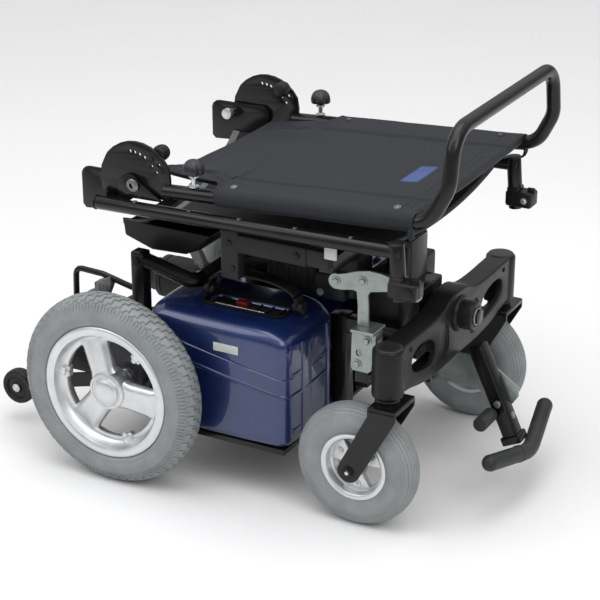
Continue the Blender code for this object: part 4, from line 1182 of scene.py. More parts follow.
def makeBeam():
    depth = beam["rearY"] - beam["frontY"]
    middle = (beam["rearY"] + beam["frontY"]) / 2
    windows = []
    for face in (-1, 1):
        ring = [(face * 0.084, 0.25), (face * 0.09, 0.236), (face * 0.108, 0.234), (face * 0.158, 0.243),
            (face * 0.17, 0.252),
                (face * 0.174, 0.27), (face * 0.16, 0.282), (face * 0.128, 0.283), (face * 0.094, 0.273)]
        windows.append(smoothLoop(ring if face > 0 else list(reversed(ring)), 2))
    body = plateWithRings("beamBody", smoothLoop(beamFace(), 2), depth, facing(middle), windows, 0.0032)
    cutters = []
    shallow = bmesh.new()
    for face in (-1, 1):
        outline = [(face * 0.038, 0.228), (face * 0.07, 0.224), (face * 0.077, 0.25), (face * 0.074, 0.28),
                   (face * 0.05, 0.288), (face * 0.039, 0.27)]
        panel = plate("panel", smoothLoop(outline if face > 0 else list(reversed(outline)), 2), 0.006,
            facing(beam["frontY"]), (), 0.0015)
        addObject(shallow, panel)
        x0, x1 = sorted((face * 0.04, face * 0.186))
        blockInto(shallow, (x0, -0.464, 0.2225), (x1, -0.43, 0.295), 0.006,
            3)   # hollow behind the front wall
    cutters.append(fromBm("panels", shallow, 0))
    body = carve(body, cutters)
    bm = bmesh.new()
    addObject(bm, body)
    for face in (-1, 1):
        x, y = face * beam["boss"][0], beam["boss"][1]
        radius, low, high = beam["bossRadius"], beam["bossLow"], beam["bossHigh"]
        profile = [(0, low), (radius - 0.003, low), (radius - 0.0008, low + 0.0012), (radius, low + 0.004),
            (radius, high - 0.006)]
        profile += [(radius - 0.0006, high - 0.0035), (radius - 0.0024, high - 0.0015),
            (radius - 0.0032, high - 0.0014), (0, high - 0.0014)]
        lathe(bm, profile, Matrix.Translation((x, y, 0)), 56)
    place = turnTo((0, beam["rearHood"], beam["pivotZ"]), (0, -1, 0))
    reach = beam["rearHood"] - beam["pivotFront"]
    radius = beam["pivotRadius"]
    hood = [(0, 0), (radius + 0.004, 0), (radius + 0.006, 0.003), (radius + 0.006, reach - 0.026),
        (radius + 0.0035, reach - 0.0225)]
    hood += [(radius, reach - 0.0215), (radius, reach - 0.003), (radius - 0.0008, reach - 0.001),
        (radius - 0.003, reach)]
    hood += [(radius - 0.0065, reach), (radius - 0.0072, reach - 0.0012), (radius - 0.0085, reach - 0.0012),
        (0, reach - 0.0012)]
    lathe(bm, hood, place, 64)
    finish(fromBm("castorBeamCasting", bm, 35), "castor_beam", "cast", "castor_beam")
    caps = bmesh.new()
    for face in (-1, 1):
        x, y = face * beam["boss"][0], beam["boss"][1]
        radius, high = beam["bossRadius"] - 0.003, beam["bossHigh"]
        lathe(caps, [(0, high - 0.003), (radius, high - 0.003), (radius, high - 0.0008),
            (radius - 0.001, high + 0.0004), (radius - 0.005, high + 0.0014),
                     (radius * 0.5, high + 0.0024), (0, high + 0.0027)], Matrix.Translation((x, y, 0)), 48)
    finish(fromBm("beamCaps", caps, 40), "castor_beam", "gloss", ())
    pivot = bmesh.new()
    start = beam["pivotFront"] + 0.0012
    place = turnTo((0, start, beam["pivotZ"]), (0, -1, 0))
    rings = [(0, 0), (0.0136, 0), (0.0142, 0.001), (0.0142, 0.003), (0.0132, 0.004), (0.0112, 0.0042),
        (0.0106, 0.0034), (0.0098, 0.0034)]
    rings += [(0.0092, 0.0052), (0.0084, 0.006), (0.0052, 0.006), (0.0048, 0.003), (0, 0.003)]
    lathe(pivot, rings, place, 48)
    finish(fromBm("beamPivotBolt", pivot, 35), "castor_beam", "zinc", ())
    # the far side carries a dampener bolt through each end
    spots = [((face * 0.178, beam["frontY"] - 0.0004, 0.29), (0, -1, 0)) for face in (-1, 1)]
    fixings("beamPlugs", "castor_beam", spots, 0.003, 0.001, "plastic", 16, 0.004)


def plateWithRings(name, outline, thick, place, rings, edge):
    curve = bpy.data.curves.new(name, "CURVE")
    curve.dimensions = "2D"
    curve.fill_mode = "BOTH"
    curve.extrude = thick / 2 - edge
    curve.bevel_depth = edge
    curve.bevel_resolution = 3
    curve.offset = -edge
    for ring in [outline] + list(rings):
        line = curve.splines.new("POLY")
        line.points.add(len(ring) - 1)
        for point, spot in zip(line.points, ring):
            point.co = (*spot, 0, 1)
        line.use_cyclic_u = True
    obj = bpy.data.objects.new(name, curve)
    looks.objects.link(obj)
    obj.matrix_world = place
    return bake(obj, 40)


makeBeam()
print("castor beam made")


# folded back: tube frame, cover and its fixings
backTube = {"x": 0.205, "radius": 0.0112}
backCover = {
    "rear": -0.04, "sleeveRear": -0.16, "front": -0.4885, "narrow": 0.176, "sleeve": 0.0135, "thick": 0.0016,
    "seamX": 0.137, "sag": 0.0045, "flat": (0.515, 0.448), "cutArea": 0.2085,
}


def tubeHeight(y):
    # centre line of the back tubes
    return 0.4795 + (-0.0805 - y) * 0.0585


def makeBackFrame():
    tube = backTube
    x, radius = tube["x"], tube["radius"]
    route = [(-x, -0.068, tubeHeight(-0.068)), (-x, -0.508, 0.5045), (0.004 - x, -0.536, 0.56),
        (0.019 - x, -0.536, 0.64)]
    route += [(-x, y, z) for x, y, z in reversed(route)]
    path = [Vector(route[0])]
    bends = (0.042, 0.055, 0.044, 0.044, 0.055, 0.042)
    for k in range(1, len(route) - 1):
        path += bent([route[k - 1], route[k], route[k + 1]], bends[k - 1], 12)[1:-1]
    path.append(Vector(route[-1]))
    bm = bmesh.new()
    addObject(bm, pipe("tube", path, radius, 8))
    finish(fromBm("backTube", bm, 40), "backrest", "black", "back_frame")
    inserts = bmesh.new()
    for face in (-1, 1):
        rodInto(inserts, (face * x, -0.164, tubeHeight(-0.164)), (face * x, -0.1585, tubeHeight(-0.1585)),
            radius + 0.001, 0.0004, 32)
    finish(fromBm("tubeCollars", inserts, 40), "backrest", "plastic", ())


def coverHeight(x, y):
    # top surface of the stretched cover
    cover = backCover
    edge = backTube["x"]
    top = tubeHeight(y) + cover["sleeve"]
    across = min(1.0, abs(x) / edge)
    sag = cover["sag"] * (1 - across ** 2) * (0.6
        + 0.4 * math.sin(math.pi * min(1.0, max(0.0, (-y - 0.04) / 0.45))))
    # behind the sleeves the cloth is pulled up on the near side and droops on the far side
    back = max(0.0, min(1.0, (y - cover["sleeveRear"]) / (cover["rear"] - cover["sleeveRear"])))
    nearPull = 0.016 * back ** 1.3 * math.exp(-((x + 0.165) / 0.045) ** 2)
    droop = -0.006 * back ** 1.5 * (0.5 + 0.5 * math.tanh((x - 0.02) / 0.06)) - 0.004 * back
    fold = 0.0
    if back > 0:
        # soft folds that fan out of the corner of the near sleeve
        angle = math.atan2(y + 0.165, x + 0.178)
        reach = math.hypot(x + 0.178, y + 0.165)
        fade = math.exp(-((reach - 0.055) / 0.045) ** 2)
        fold += 0.0034 * fade * math.sin(angle * 9 + 0.6)
        angle = math.atan2(y + 0.165, 0.178 - x)
        reach = math.hypot(0.178 - x, y + 0.165)
        fold += 0.0016 * math.exp(-((reach - 0.05) / 0.04) ** 2) * math.sin(angle * 7)
    ripple = 0.0011 * noise.noise(Vector((x * 9, y * 14, 0.3))) + 0.0005 * noise.noise(Vector((x * 30,
        y * 34, 4.0)))
    return top - sag + nearPull + droop + fold + ripple


def makeCover():
    cover, edge = backCover, backTube["x"]
    columns, rows = 116, 116
    points = []
    for row in range(rows + 1):
        y = cover["front"] + (cover["rear"] - cover["front"]) * row / rows
        back = max(0.0, min(1.0, (y - cover["sleeveRear"]) / 0.018))
        back = back * back * (3 - 2 * back)
        half = edge * (1 - back) + (cover["narrow"] + 0.004 * math.sin((y + 0.16) * 26)) * back
        wrap = 1 - back
        line = []
        # one profile across the cover: round a sleeve, over the top, round the other sleeve
        hem = math.radians(215)
        for k in range(columns + 1):
            t = 2 * k / columns - 1
            if abs(t) > 0.84:
                turn = hem * (abs(t) - 0.84) / 0.16 * wrap
                radius = cover["sleeve"]
                x = math.copysign(half, t) + math.copysign(math.sin(turn) * radius, t) * wrap
                z = coverHeight(math.copysign(half, t), y) - radius * (1 - math.cos(turn))
                if wrap < 0.999:
                    x = math.copysign(half - 0.01 * (abs(t) - 0.84) / 0.16 * (1 - wrap),
                        t) + math.copysign(math.sin(turn) * radius, t)
                    z -= 0.01 * (abs(t) - 0.84) / 0.16 * (1 - wrap)
            else:
                x = t / 0.84 * half
                z = coverHeight(x, y)
            line.append(Vector((x, y, z)))
        points.append(line)
    # the front hem turns down over its cord and tucks back under
    front = points[0]
    for back, drop in ((0.0016, 0.0035), (0.0008, 0.009), (0.003, 0.0135), (0.0075, 0.0155)):
        points.insert(0, [Vector((p.x * (1 - 0.25 * drop), p.y + back - 0.0012, p.z - drop)) for p in front])
    rows = len(points) - 1
    bm = bmesh.new()
    uvs = bm.loops.layers.uv.new("cloth")
    grid = [[bm.verts.new(p) for p in line] for line in points]
    # distances along both ways give the weave a true scale
    width = cover["flat"][0]
    for r in range(rows):
        for k in range(columns):
            face = bm.faces.new((grid[r][k], grid[r][k + 1], grid[r + 1][k + 1], grid[r + 1][k]))
            for loop, (a, b) in zip(face.loops, ((k, r), (k + 1, r), (k + 1, r + 1), (k, r + 1))):
                loop[uvs].uv = (a / columns * width, b / rows * (cover["rear"] - cover["front"]))
    obj = fromBm("backCoverCloth", bm, 0)
    obj.data.shade_smooth()
    step = obj.modifiers.new("body", "SOLIDIFY")
    step.thickness = cover["thick"]
    step.offset = -1
    obj = bake(obj, 55)
    finish(obj, "backrest", "cloth", "back_cover")
    print("cover area", round(sum(p.area for p in obj.data.polygons) / 2, 4))
    hems = coverHems(points)


def coverHems(points):
    # sewn channels along the tubes, the turned hems at both ends, and their stitches
    cover = backCover
    bm = bmesh.new()
    for face in (-1, 1):
        for shift in (0.0, 0.006):
            route = []
            for step in range(90):
                y = cover["front"] + 0.002 + (cover["rear"] - cover["front"] - 0.005) * step / 89
                x = face * (cover["seamX"] + shift - 0.01 * max(0.0, (y + 0.16) / 0.12))
                route.append(Vector((x, y, coverHeight(x, y) + 0.0002)))
            sweepInto(bm, route, 0.0009 if shift else 0.0016, 6, closed=False, flatten=(1.6, 0.55))
    for line, reach in ((points[5], 0.0011), (points[-3], 0.0015), (points[-9], 0.0008),
        (points[12], 0.0007)):
        route = [p + Vector((0, 0, 0.0002)) for p in line[12:-12]]
        sweepInto(bm, route, reach, 6, closed=False, flatten=(1.8, 0.6))
    seams = finish(fromBm("backCoverSeams", bm, 60), "backrest", "cloth", ())
    uvs = seams.data.uv_layers.new(name="cloth")
    for loop in seams.data.loops:
        place = seams.data.vertices[loop.vertex_index].co
        uvs.data[loop.index].uv = (place.x, place.y)
    stitches = stitchRows(points)
    screws = []
    for face in (-1, 1):
        for y in (-0.452, -0.18):
            place = (face * 0.19, y, coverHeight(face * 0.19, y) + 0.0004)
            screws.append((place, (face * 0.25, 0.0585, 1)))
    fixings("coverScrews", "backrest", screws, 0.0036, 0.0016, "nickel", 20, 0.0056)
    label = makeLabel()
    return [seams, stitches, label]


def stitchRows(points):
    cover = backCover
    spots = []
    for face in (-1, 1):
        for shift in (-0.0034, 0.0095):
            count = 105
            for step in range(count):
                y = cover["front"] + 0.006 + (cover["rear"] - cover["front"] - 0.014) * step / (count - 1)
                x = face * (cover["seamX"] + shift - 0.01 * max(0.0, (y + 0.16) / 0.12))
                spots.append((Vector((x, y, coverHeight(x, y) + 0.0001)), 0.0))
    for row in (9, -6):
        line = points[row]
        for place in line[14:-14]:
            spots.append((place + Vector((0, 0, 0.0002)), math.pi / 2))
    return stitchesOn("backCoverStitches", "backrest", spots, 0.0026, 0.00042)


def stitchesOn(name, body, spots, length, radius):
    mesh = bpy.data.meshes.new(name)
    mesh.from_pydata([place for place, turn in spots], [], [])
    turns = mesh.attributes.new("turn", "FLOAT_VECTOR", "POINT")
    for item, (place, turn) in zip(turns.data, spots):
        item.vector = (0, 0, turn)
    obj = linkMesh(name, mesh, 0)
    obj = runTree(obj, "stitches", "thread", StitchLength=length, ThreadRadius=radius)
    return finish(obj, body, "thread", ())


def stitchTree():
    # one short thread loop on every point, turned by its "turn" attribute
    tree, given = startTree("stitches", ("Stitch Length", "Float"), ("Thread Radius", "Float"))
    thread = given["Thread Radius"]
    ball = addStep(tree, "GeometryNodeMeshUVSphere", {"Segments": 6, "Rings": 4, "Radius": thread})
    ratio = addStep(tree, "ShaderNodeMath", {0: given["Stitch Length"], 1: thread}, operation="DIVIDE")
    size = addStep(tree, "ShaderNodeCombineXYZ", {"X": 1.0, "Y": times(tree, ratio, 0.5), "Z": 0.9})
    turn = addStep(tree, "GeometryNodeInputNamedAttribute", {"Name": "turn"}, data_type="FLOAT_VECTOR")
    return endTree(tree, given, given["Geometry"], ball, turn, Scale=size)


def makeLabel():
    # a small woven label with a turned border and nothing on it
    bm = bmesh.new()
    centre, half = (-0.03, -0.412), (0.039, 0.013)
    for grow, lift, thick in ((0.0, 0.001, 0.001), (0.0014, 0.0004, 0.001)):
        loop = roundedLoop((centre[0] - half[0] - grow, centre[1] - half[1] - grow),
            (centre[0] + half[0] + grow, centre[1] + half[1] + grow), 0.0045, 6)
        rings = []
        for inset, height in ((0.0, lift - thick), (0.0, lift - 0.0002), (0.03, lift)):
            rings.append([bm.verts.new((centre[0] + (x - centre[0]) * (1 - inset),
                centre[1] + (y - centre[1]) * (1 - inset), coverHeight(x, y) + height))
                          for x, y in loop])
        loftInto(bm, rings)
    return finish(fromBm("blankLabel", bm, 40), "backrest", "label")


trees["stitches"] = stitchTree()
makeBackFrame()
makeCover()
print("back made")


# seat sling
seatSling = {"rear": 0.045, "front": -0.44, "half": 0.199, "depth": (0.08, 0.02), "thick": 0.0018,
    "flat": (0.43, 0.485)}


def slingHeight(x, y):
    sling = seatSling
    t = (y - sling["rear"]) / (sling["front"] - sling["rear"])
    depth = sling["depth"][0] + (sling["depth"][1] - sling["depth"][0]) * t
    rail = 0.445 + (0.459 - 0.445) * (0.051 - y) / 0.525
    across = min(1.0, abs(x) / sling["half"])
    ripple = 0.0012 * noise.noise(Vector((x * 8, y * 12, 7.3)))
    return rail - 0.002 - depth * (1 - across ** 2.1) + ripple


def makeSling():
    sling = seatSling
    low, high = boxOf("seat_sling")
    columns, rows = 90, 60
    bm = bmesh.new()
    uvs = bm.loops.layers.uv.new("cloth")
    grid = []
    half = high.x
    for row in range(rows + 1):
        y = low.y + (high.y - low.y) * row / rows
        grid.append([bm.verts.new((half * (2 * k / columns - 1), y,
            slingHeight(half * (2 * k / columns - 1) * sling["half"] / half, y)))
            for k in range(columns + 1)])
    for r in range(rows):
        for k in range(columns):
            face = bm.faces.new((grid[r][k], grid[r][k + 1], grid[r + 1][k + 1], grid[r + 1][k]))
            for loop, (a, b) in zip(face.loops, ((k, r), (k + 1, r), (k + 1, r + 1), (k, r + 1))):
                loop[uvs].uv = (a / columns * sling["flat"][0], b / rows * sling["flat"][1])
    obj = fromBm("seatSlingCloth", bm, 0)
    obj.data.shade_smooth()
    step = obj.modifiers.new("body", "SOLIDIFY")
    step.thickness = sling["thick"]
    obj = bake(obj, 50)
    finish(obj, "chassis", "sling", "seat_sling")
    print("sling area", round(sum(p.area for p in obj.data.polygons) / 2, 4))
    hem = bmesh.new()
    for y, reach in ((high.y - 0.004, 0.003), (low.y + 0.004, 0.0022)):
        route = [Vector((half * (2 * k / 60 - 1), y,
            slingHeight(half * (2 * k / 60 - 1) * sling["half"] / half, y))) for k in range(61)]
        sweepInto(hem, route, reach, 8, closed=False, flatten=(2.2, 0.7))
    hems = finish(fromBm("seatSlingHem", hem, 60), "chassis", "hem", ())


makeSling()
print("sling made")


# seat rails, posts and clamps
seatRail = {"rear": (0.051, 0.445), "front": (-0.474, 0.459), "radius": 0.011,
    "post": ((-0.465, 0.4715), (-0.4725, 0.385)), "postRadius": 0.0118}


def makeRails(label, side):
    rail = seatRail
    middle = midOf(f"seat_rail_{label}")
    x = middle.x
    bm = bmesh.new()
    rodInto(bm, (x, *rail["rear"]), (x, *rail["front"]), rail["radius"], 0.001, 36)
    rodInto(bm, (x, *rail["post"][0]), (x, *rail["post"][1]), rail["postRadius"], 0.0014, 36)
    finish(fromBm(f"railTube_{label}", bm, 40), "chassis", "black", f"seat_rail_{label}")
    caps = bmesh.new()
    y, z = rail["rear"]
    start = Vector((x, y - 0.0015, z))
    lathe(caps, [(0, 0), (0.0118, 0), (0.0118, 0.002), (0.0108, 0.0032), (0.0075, 0.0042), (0, 0.0046)],
        turnTo(start, (0, 1, -0.02)), 32)
    lathe(caps, [(0, 0), (0.0122, 0), (0.0122, 0.0016), (0.011, 0.0026), (0.007, 0.0034), (0, 0.0036)],
          turnTo((x, rail["post"][0][0], rail["post"][0][1] - 0.0012), (0, 0.087, 1)), 32)
    finish(fromBm(f"railCaps_{label}", caps, 40), "chassis", "plastic", ())
    spots = []
    for y in (-0.02, -0.118, -0.205, -0.3, -0.392):
        z = rail["rear"][1] + (rail["front"][1] - rail["rear"][1]) * (rail["rear"][0] - y) / 0.525
        spots.append(((x, y, z + rail["radius"] - 0.0008), (0, 0.02, 1)))
    fixings(f"slingScrews_{label}", "chassis", spots, 0.0028, 0.001, "nickel", 20, 0.004)
    bm = bmesh.new()
    clampLow, clampHigh = boxOf(f"hanger_clamp_{label}")
    blockInto(bm, clampLow, clampHigh, 0.0045, 4)
    blockInto(bm, (x - 0.0135, clampHigh.y - 0.022, clampHigh.z - 0.004),
        (x + 0.0135, clampHigh.y - 0.0015, clampHigh.z + 0.006), 0.003, 3)
    out = side * 0.016
    rodInto(bm, (x + out * 0.9, clampLow.y + 0.012, 0.404), (x + out * 1.35, clampLow.y + 0.012, 0.404),
        0.0072, 0.0015, 24)
    blockInto(bm, (x - 0.003, clampLow.y - 0.0004, 0.3935), (x + 0.003, clampLow.y + 0.012, 0.423), 0.0012, 2)
    finish(fromBm(f"hangerClampBody_{label}", bm, 40), "chassis", "plastic", f"hanger_clamp_{label}")
    fixings(f"clampBolt_{label}", "chassis", [((x - out * 1.0, clampLow.y + 0.012, 0.404), (-side, 0, 0))],
        0.004, 0.0026, "steel", 6, 0.0056)


def makeSupport(label, side):
    # grey post and box rail, with the joint line between the rail's two lengths
    low, high = boxOf(f"seat_support_{label}")
    x0, x1 = low.x, high.x
    bm = bmesh.new()
    blockInto(bm, (x0, -0.191, low.z), (x1, -0.161, high.z - 0.0005), 0.0028, 3)
    blockInto(bm, (x0 + 0.001, -0.308, 0.3972), (x1 - 0.001, -0.17, 0.4278), 0.0028, 3)
    blockInto(bm, (x0 + 0.0024, low.y, 0.3984), (x1 - 0.0024, -0.307, 0.4266), 0.0028, 3)
    finish(fromBm(f"seatPost_{label}", bm, 40), "chassis", "grey", f"seat_support_{label}")
    face = side * 0.2008
    spots = [((face, y, z), (side, 0, 0)) for y, z in ((-0.182, 0.372), (-0.176, 0.4125), (-0.292, 0.4125))]
    fixings(f"postBolts_{label}", "chassis", spots, 0.0046, 0.0026, "plastic", 6, 0.0062)
    tag = bmesh.new()
    x0, x1 = sorted((side * 0.199, side * 0.203))
    blockInto(tag, (x0, -0.36, 0.418), (x1, -0.34, 0.4415), 0.001, 2)
    finish(fromBm(f"blankTag_{label}", tag, 40), "chassis", "pale", ())


def makeArch(label, side):
    # zinc plates ahead of the post: an arch with three bolts and the folded bracket below it
    x = side * 0.19
    thick = 0.005
    outline = arcOf((-0.3545, 0.3815), 0.0125, 105, -82, 9) + [(-0.364, 0.3695), (-0.383, 0.373),
        (-0.389, 0.3715), (-0.3912, 0.35), (-0.3912, 0.318)]
    outline += [(-0.409, 0.318), (-0.4085, 0.346), (-0.4075, 0.368), (-0.4115, 0.375), (-0.439, 0.381),
        (-0.462, 0.379), (-0.473, 0.375)]
    outline += arcOf((-0.4835, 0.3845), 0.0112, -80, -262, 9)
    outline += [(-0.47, 0.3935), (-0.448, 0.4035), (-0.43, 0.4075), (-0.41, 0.4085), (-0.389, 0.404),
        (-0.37, 0.397)]
    bm = bmesh.new()
    addObject(bm, plate("arch", outline, thick, sideways(x), (), 0.0007))
    front, foot, shelf = -0.427, 0.2475, 0.3125
    blockInto(bm, (x - 0.0215, front, shelf), (x + 0.0215, -0.388, shelf + 0.0052), 0.0018, 3)
    blockInto(bm, (x - 0.012, front, foot), (x + 0.012, front + 0.0042, shelf + 0.002), 0.001, 2)
    cheek = [(-0.387, 0.315), (-0.386, 0.286), (-0.3855, 0.252), (-0.389, 0.2475), (-0.414, 0.247),
        (-0.42, 0.252), (-0.4265, 0.315)]
    for edge in (-1, 1):
        addObject(bm, plate("cheek", cheek, 0.0032, sideways(x + edge * 0.0102),
            [(-0.3985, 0.278, 0.006, 0.75)], 0.0006))
    blockInto(bm, (x - 0.011, -0.414, 0.2466), (x + 0.011, -0.387, 0.2505), 0.001, 2)
    finish(fromBm(f"zincArch_{label}", bm, 35), "chassis", "zinc", f"front_bracket_{label}")
    spots = [((x + side * 0.0026, y, z), (side, 0, 0)) for y,
        z in ((-0.3545, 0.382), (-0.399, 0.39), (-0.484, 0.3845))]
    spots += [((x + side * 0.012, y, z), (side, 0, 0)) for y, z in ((-0.412, 0.3), (-0.396, 0.259))]
    fixings(f"archBolts_{label}", "chassis", spots, 0.0052, 0.0036, "zinc", 6, 0.0078)


# recline plates, knobs and pins
recline = {"pivot": (-0.016, 0.483), "thick": 0.005}


def makeRecline(label, side):
    tidyNode(f"recline_plate_{label}", "backrest", "black", 0.0007, f"reclineDisc_{label}")
    low, high = boxOf(f"recline_plate_{label}")
    outer = side * max(abs(low.x), abs(high.x))
    spots = [((outer, *arcOf(recline["pivot"], 0.052, turn, turn, 2)[0]), (side, 0, 0))
        for turn in (176, 150, 124)]
    fixings(f"discBolts_{label}", "backrest", spots, 0.0034, 0.0018, "plastic", 20, 0.0046)
    tidyNode(f"recline_bracket_{label}", "chassis", "black", 0.0008, f"reclineBracket_{label}")
    low, high = boxOf(f"recline_bracket_{label}")
    reach = side * max(abs(low.x), abs(high.x))
    bm = bmesh.new()
    place = turnTo((reach - side * 0.0008, *recline["pivot"]), (side, 0, 0))
    lathe(bm, [(0, 0), (0.0105, 0), (0.0105, 0.0012), (0.0094, 0.002), (0.0084, 0.0016), (0.0076, 0.0022),
        (0.005, 0.0024), (0.0046, 0.0008), (0, 0.0008)], place, 36)
    finish(fromBm(f"pivotWasher_{label}", bm, 40), "chassis", "nickel", ())
    knob = bmesh.new()
    low, high = boxOf(f"tension_knob_{label}")
    centre = midOf(f"tension_knob_{label}")
    near, far = (low.x, high.x) if side > 0 else (high.x, low.x)
    length = abs(far - near)
    place = turnTo((far, centre.y, centre.z), (-side, 0, 0))
    profile = [(0, 0), (0.0095, 0), (0.011, 0.0012), (0.0118, 0.004), (0.0122, length - 0.005),
        (0.011, length - 0.0015), (0.0085, length), (0, length)]
    lathe(knob, profile, place, 40)
    for k in range(12):
        turn = Matrix.Rotation(2 * math.pi * k / 12, 4, "Z")
        blockInto(knob, (0.0112, -0.0011, 0.003), (0.0126, 0.0011, length - 0.005), 0.0005, 2, place @ turn)
    finish(fromBm(f"tensionGrip_{label}", knob, 40), f"tension_knob_{label}", "plastic",
        f"tension_knob_{label}")
    tidyNode(f"lock_pin_{label}", f"lock_pin_{label}", "steel", 0.0004, f"lockPin_{label}")


def starProfile(count, radius, dip, steps=10):
    points = []
    for k in range(count * steps):
        turn = 2 * math.pi * k / (count * steps)
        points.append((turn, radius - dip * (0.5 + 0.5 * math.cos(count * turn)) ** 1.6))
    return points


def makeStarKnob(label):
    # lobed clamping knob on a bright screw
    low, high = boxOf(f"star_knob_{label}")
    x, y = (low.x + high.x) / 2, (low.y + high.y) / 2
    top, base = high.z + 0.003, high.z - 0.02
    bm = bmesh.new()
    shares = ((0.0, 0.52), (0.02, 0.66), (0.05, 0.9), (0.12, 0.985), (0.26, 1.0), (0.42, 0.965),
        (0.58, 0.89), (0.72, 0.78), (0.84, 0.62),
              (0.93, 0.43), (0.98, 0.24), (1.0, 0.08))
    levels = [(base + (top - base) * rise, share) for rise, share in shares]
    rings = []
    for z, share in levels:
        rings.append([bm.verts.new((x + r * share * math.cos(t), y + r * share * math.sin(t), z)) for t,
            r in starProfile(6, 0.0178, 0.0024 * share)])
    loftInto(bm, rings)
    finish(fromBm(f"starHead_{label}", bm, 50), f"star_knob_{label}", "gloss", f"star_knob_{label}")
    stem = rodInto(bmesh.new(), (x, y, low.z), (x, y, base + 0.002), 0.004, 0.0004, 24)
    lathe(stem, [(0.0, 0), (0.0072, 0), (0.0078, 0.0012), (0.006, 0.0052), (0.0048, 0.0062), (0, 0.0062)],
        Matrix.Translation((x, y, base - 0.006)), 28)
    lathe(stem, [(0.0, 0), (0.008, 0), (0.0084, 0.0006), (0.0084, 0.0018), (0, 0.0018)],
        Matrix.Translation((x, y, low.z)), 28)
    finish(fromBm(f"starStem_{label}", stem, 40), f"star_knob_{label}", "steel", ())


# kerb climber
kerb = {"top": (0.002, -0.5045, 0.233), "bottom": (0.002, -0.5745, 0.0835), "size": (0.025, 0.026),
    "pivot": (-0.548, 0.1445)}


def makeKerbClimber():
    top, bottom = Vector(kerb["top"]), Vector(kerb["bottom"])
    along = top - bottom
    place = turnTo(bottom, along)
    bm = bmesh.new()
    wide, deep = kerb["size"]
    rings = []
    for height, share in ((0, 0.86), (0.0016, 1.0), (along.length - 0.0016, 1.0), (along.length, 0.86)):
        loop = roundedLoop((-wide / 2 * share, -deep / 2 * share), (wide / 2 * share, deep / 2 * share),
            0.0036, 5)
        rings.append([bm.verts.new(place @ Vector((x, y, height))) for x, y in loop])
    loftInto(bm, rings)
    arm = fromBm("kerbArmBar", bm, 40)
    bore = rodInto(bmesh.new(), (0.03, *kerb["pivot"]), (-0.03, *kerb["pivot"]), 0.0062, 0.0002, 28)
    arm = carve(arm, [fromBm("bore", bore, 0)])
    finish(arm, "kerb_climber", "black", "kerb_arm")
    side1 = (along.normalized().cross(Vector((1, 0, 0)))).normalized()
    middle = bottom + along * 0.24
    faceOut = -side1 if side1.y > 0 else side1
    fixings("kerbArmBolt", "kerb_climber", [(middle + faceOut * deep / 2, faceOut)], 0.0042, 0.0024, "zinc",
        6, 0.006)
    foot = bmesh.new()
    route = bent([(-0.112, -0.581, 0.096), (0, -0.602, 0.0715), (0.112, -0.581, 0.096)], 0.07, 22)
    addObject(foot, pipe("bar", route, 0.013, 10))
    for face in (-1, 1):
        bmesh.ops.create_uvsphere(foot, u_segments=32, v_segments=18, radius=0.0132,
            matrix=Matrix.Translation((face * 0.112, -0.581, 0.096)))
    lathe(foot, [(0.0128, 0), (0.0139, 0.0008), (0.0139, 0.005), (0.0128, 0.0058)],
        turnTo((-0.03, -0.5964, 0.0782), (-0.112, 0.021, 0.0245)), 40)
    finish(fromBm("kerbFootPad", foot, 50), "kerb_climber", "foot", "kerb_foot")
    weld = bmesh.new()
    blockInto(weld, (-wide / 2 - 0.003, -0.0165, -0.004), (wide / 2 + 0.003, 0.0165, 0.01), 0.0022, 3, place)
    finish(fromBm("kerbArmCollar", weld, 40), "kerb_climber", "black", ())
    tidyNode("kerb_bracket", "chassis", "zinc", 0.0007, "kerbBracketPlate")
    stop = rodInto(bmesh.new(), (-0.062, -0.54, 0.128), (-0.016, -0.54, 0.128), 0.0115, 0.002, 36)
    finish(fromBm("kerbStopRoller", stop, 40), "chassis", "foot", ())
    high = boxOf("kerb_bracket")[1]
    pins = [((high.x - 0.001, *kerb["pivot"]), (1, 0, 0)), ((0.0208, -0.446, 0.19), (1, 0, 0)),
        ((0.0208, -0.446, 0.163), (1, 0, 0))]
    fixings("kerbBolts", "chassis", pins, 0.0066, 0.0044, "zinc", 6, 0.0092)


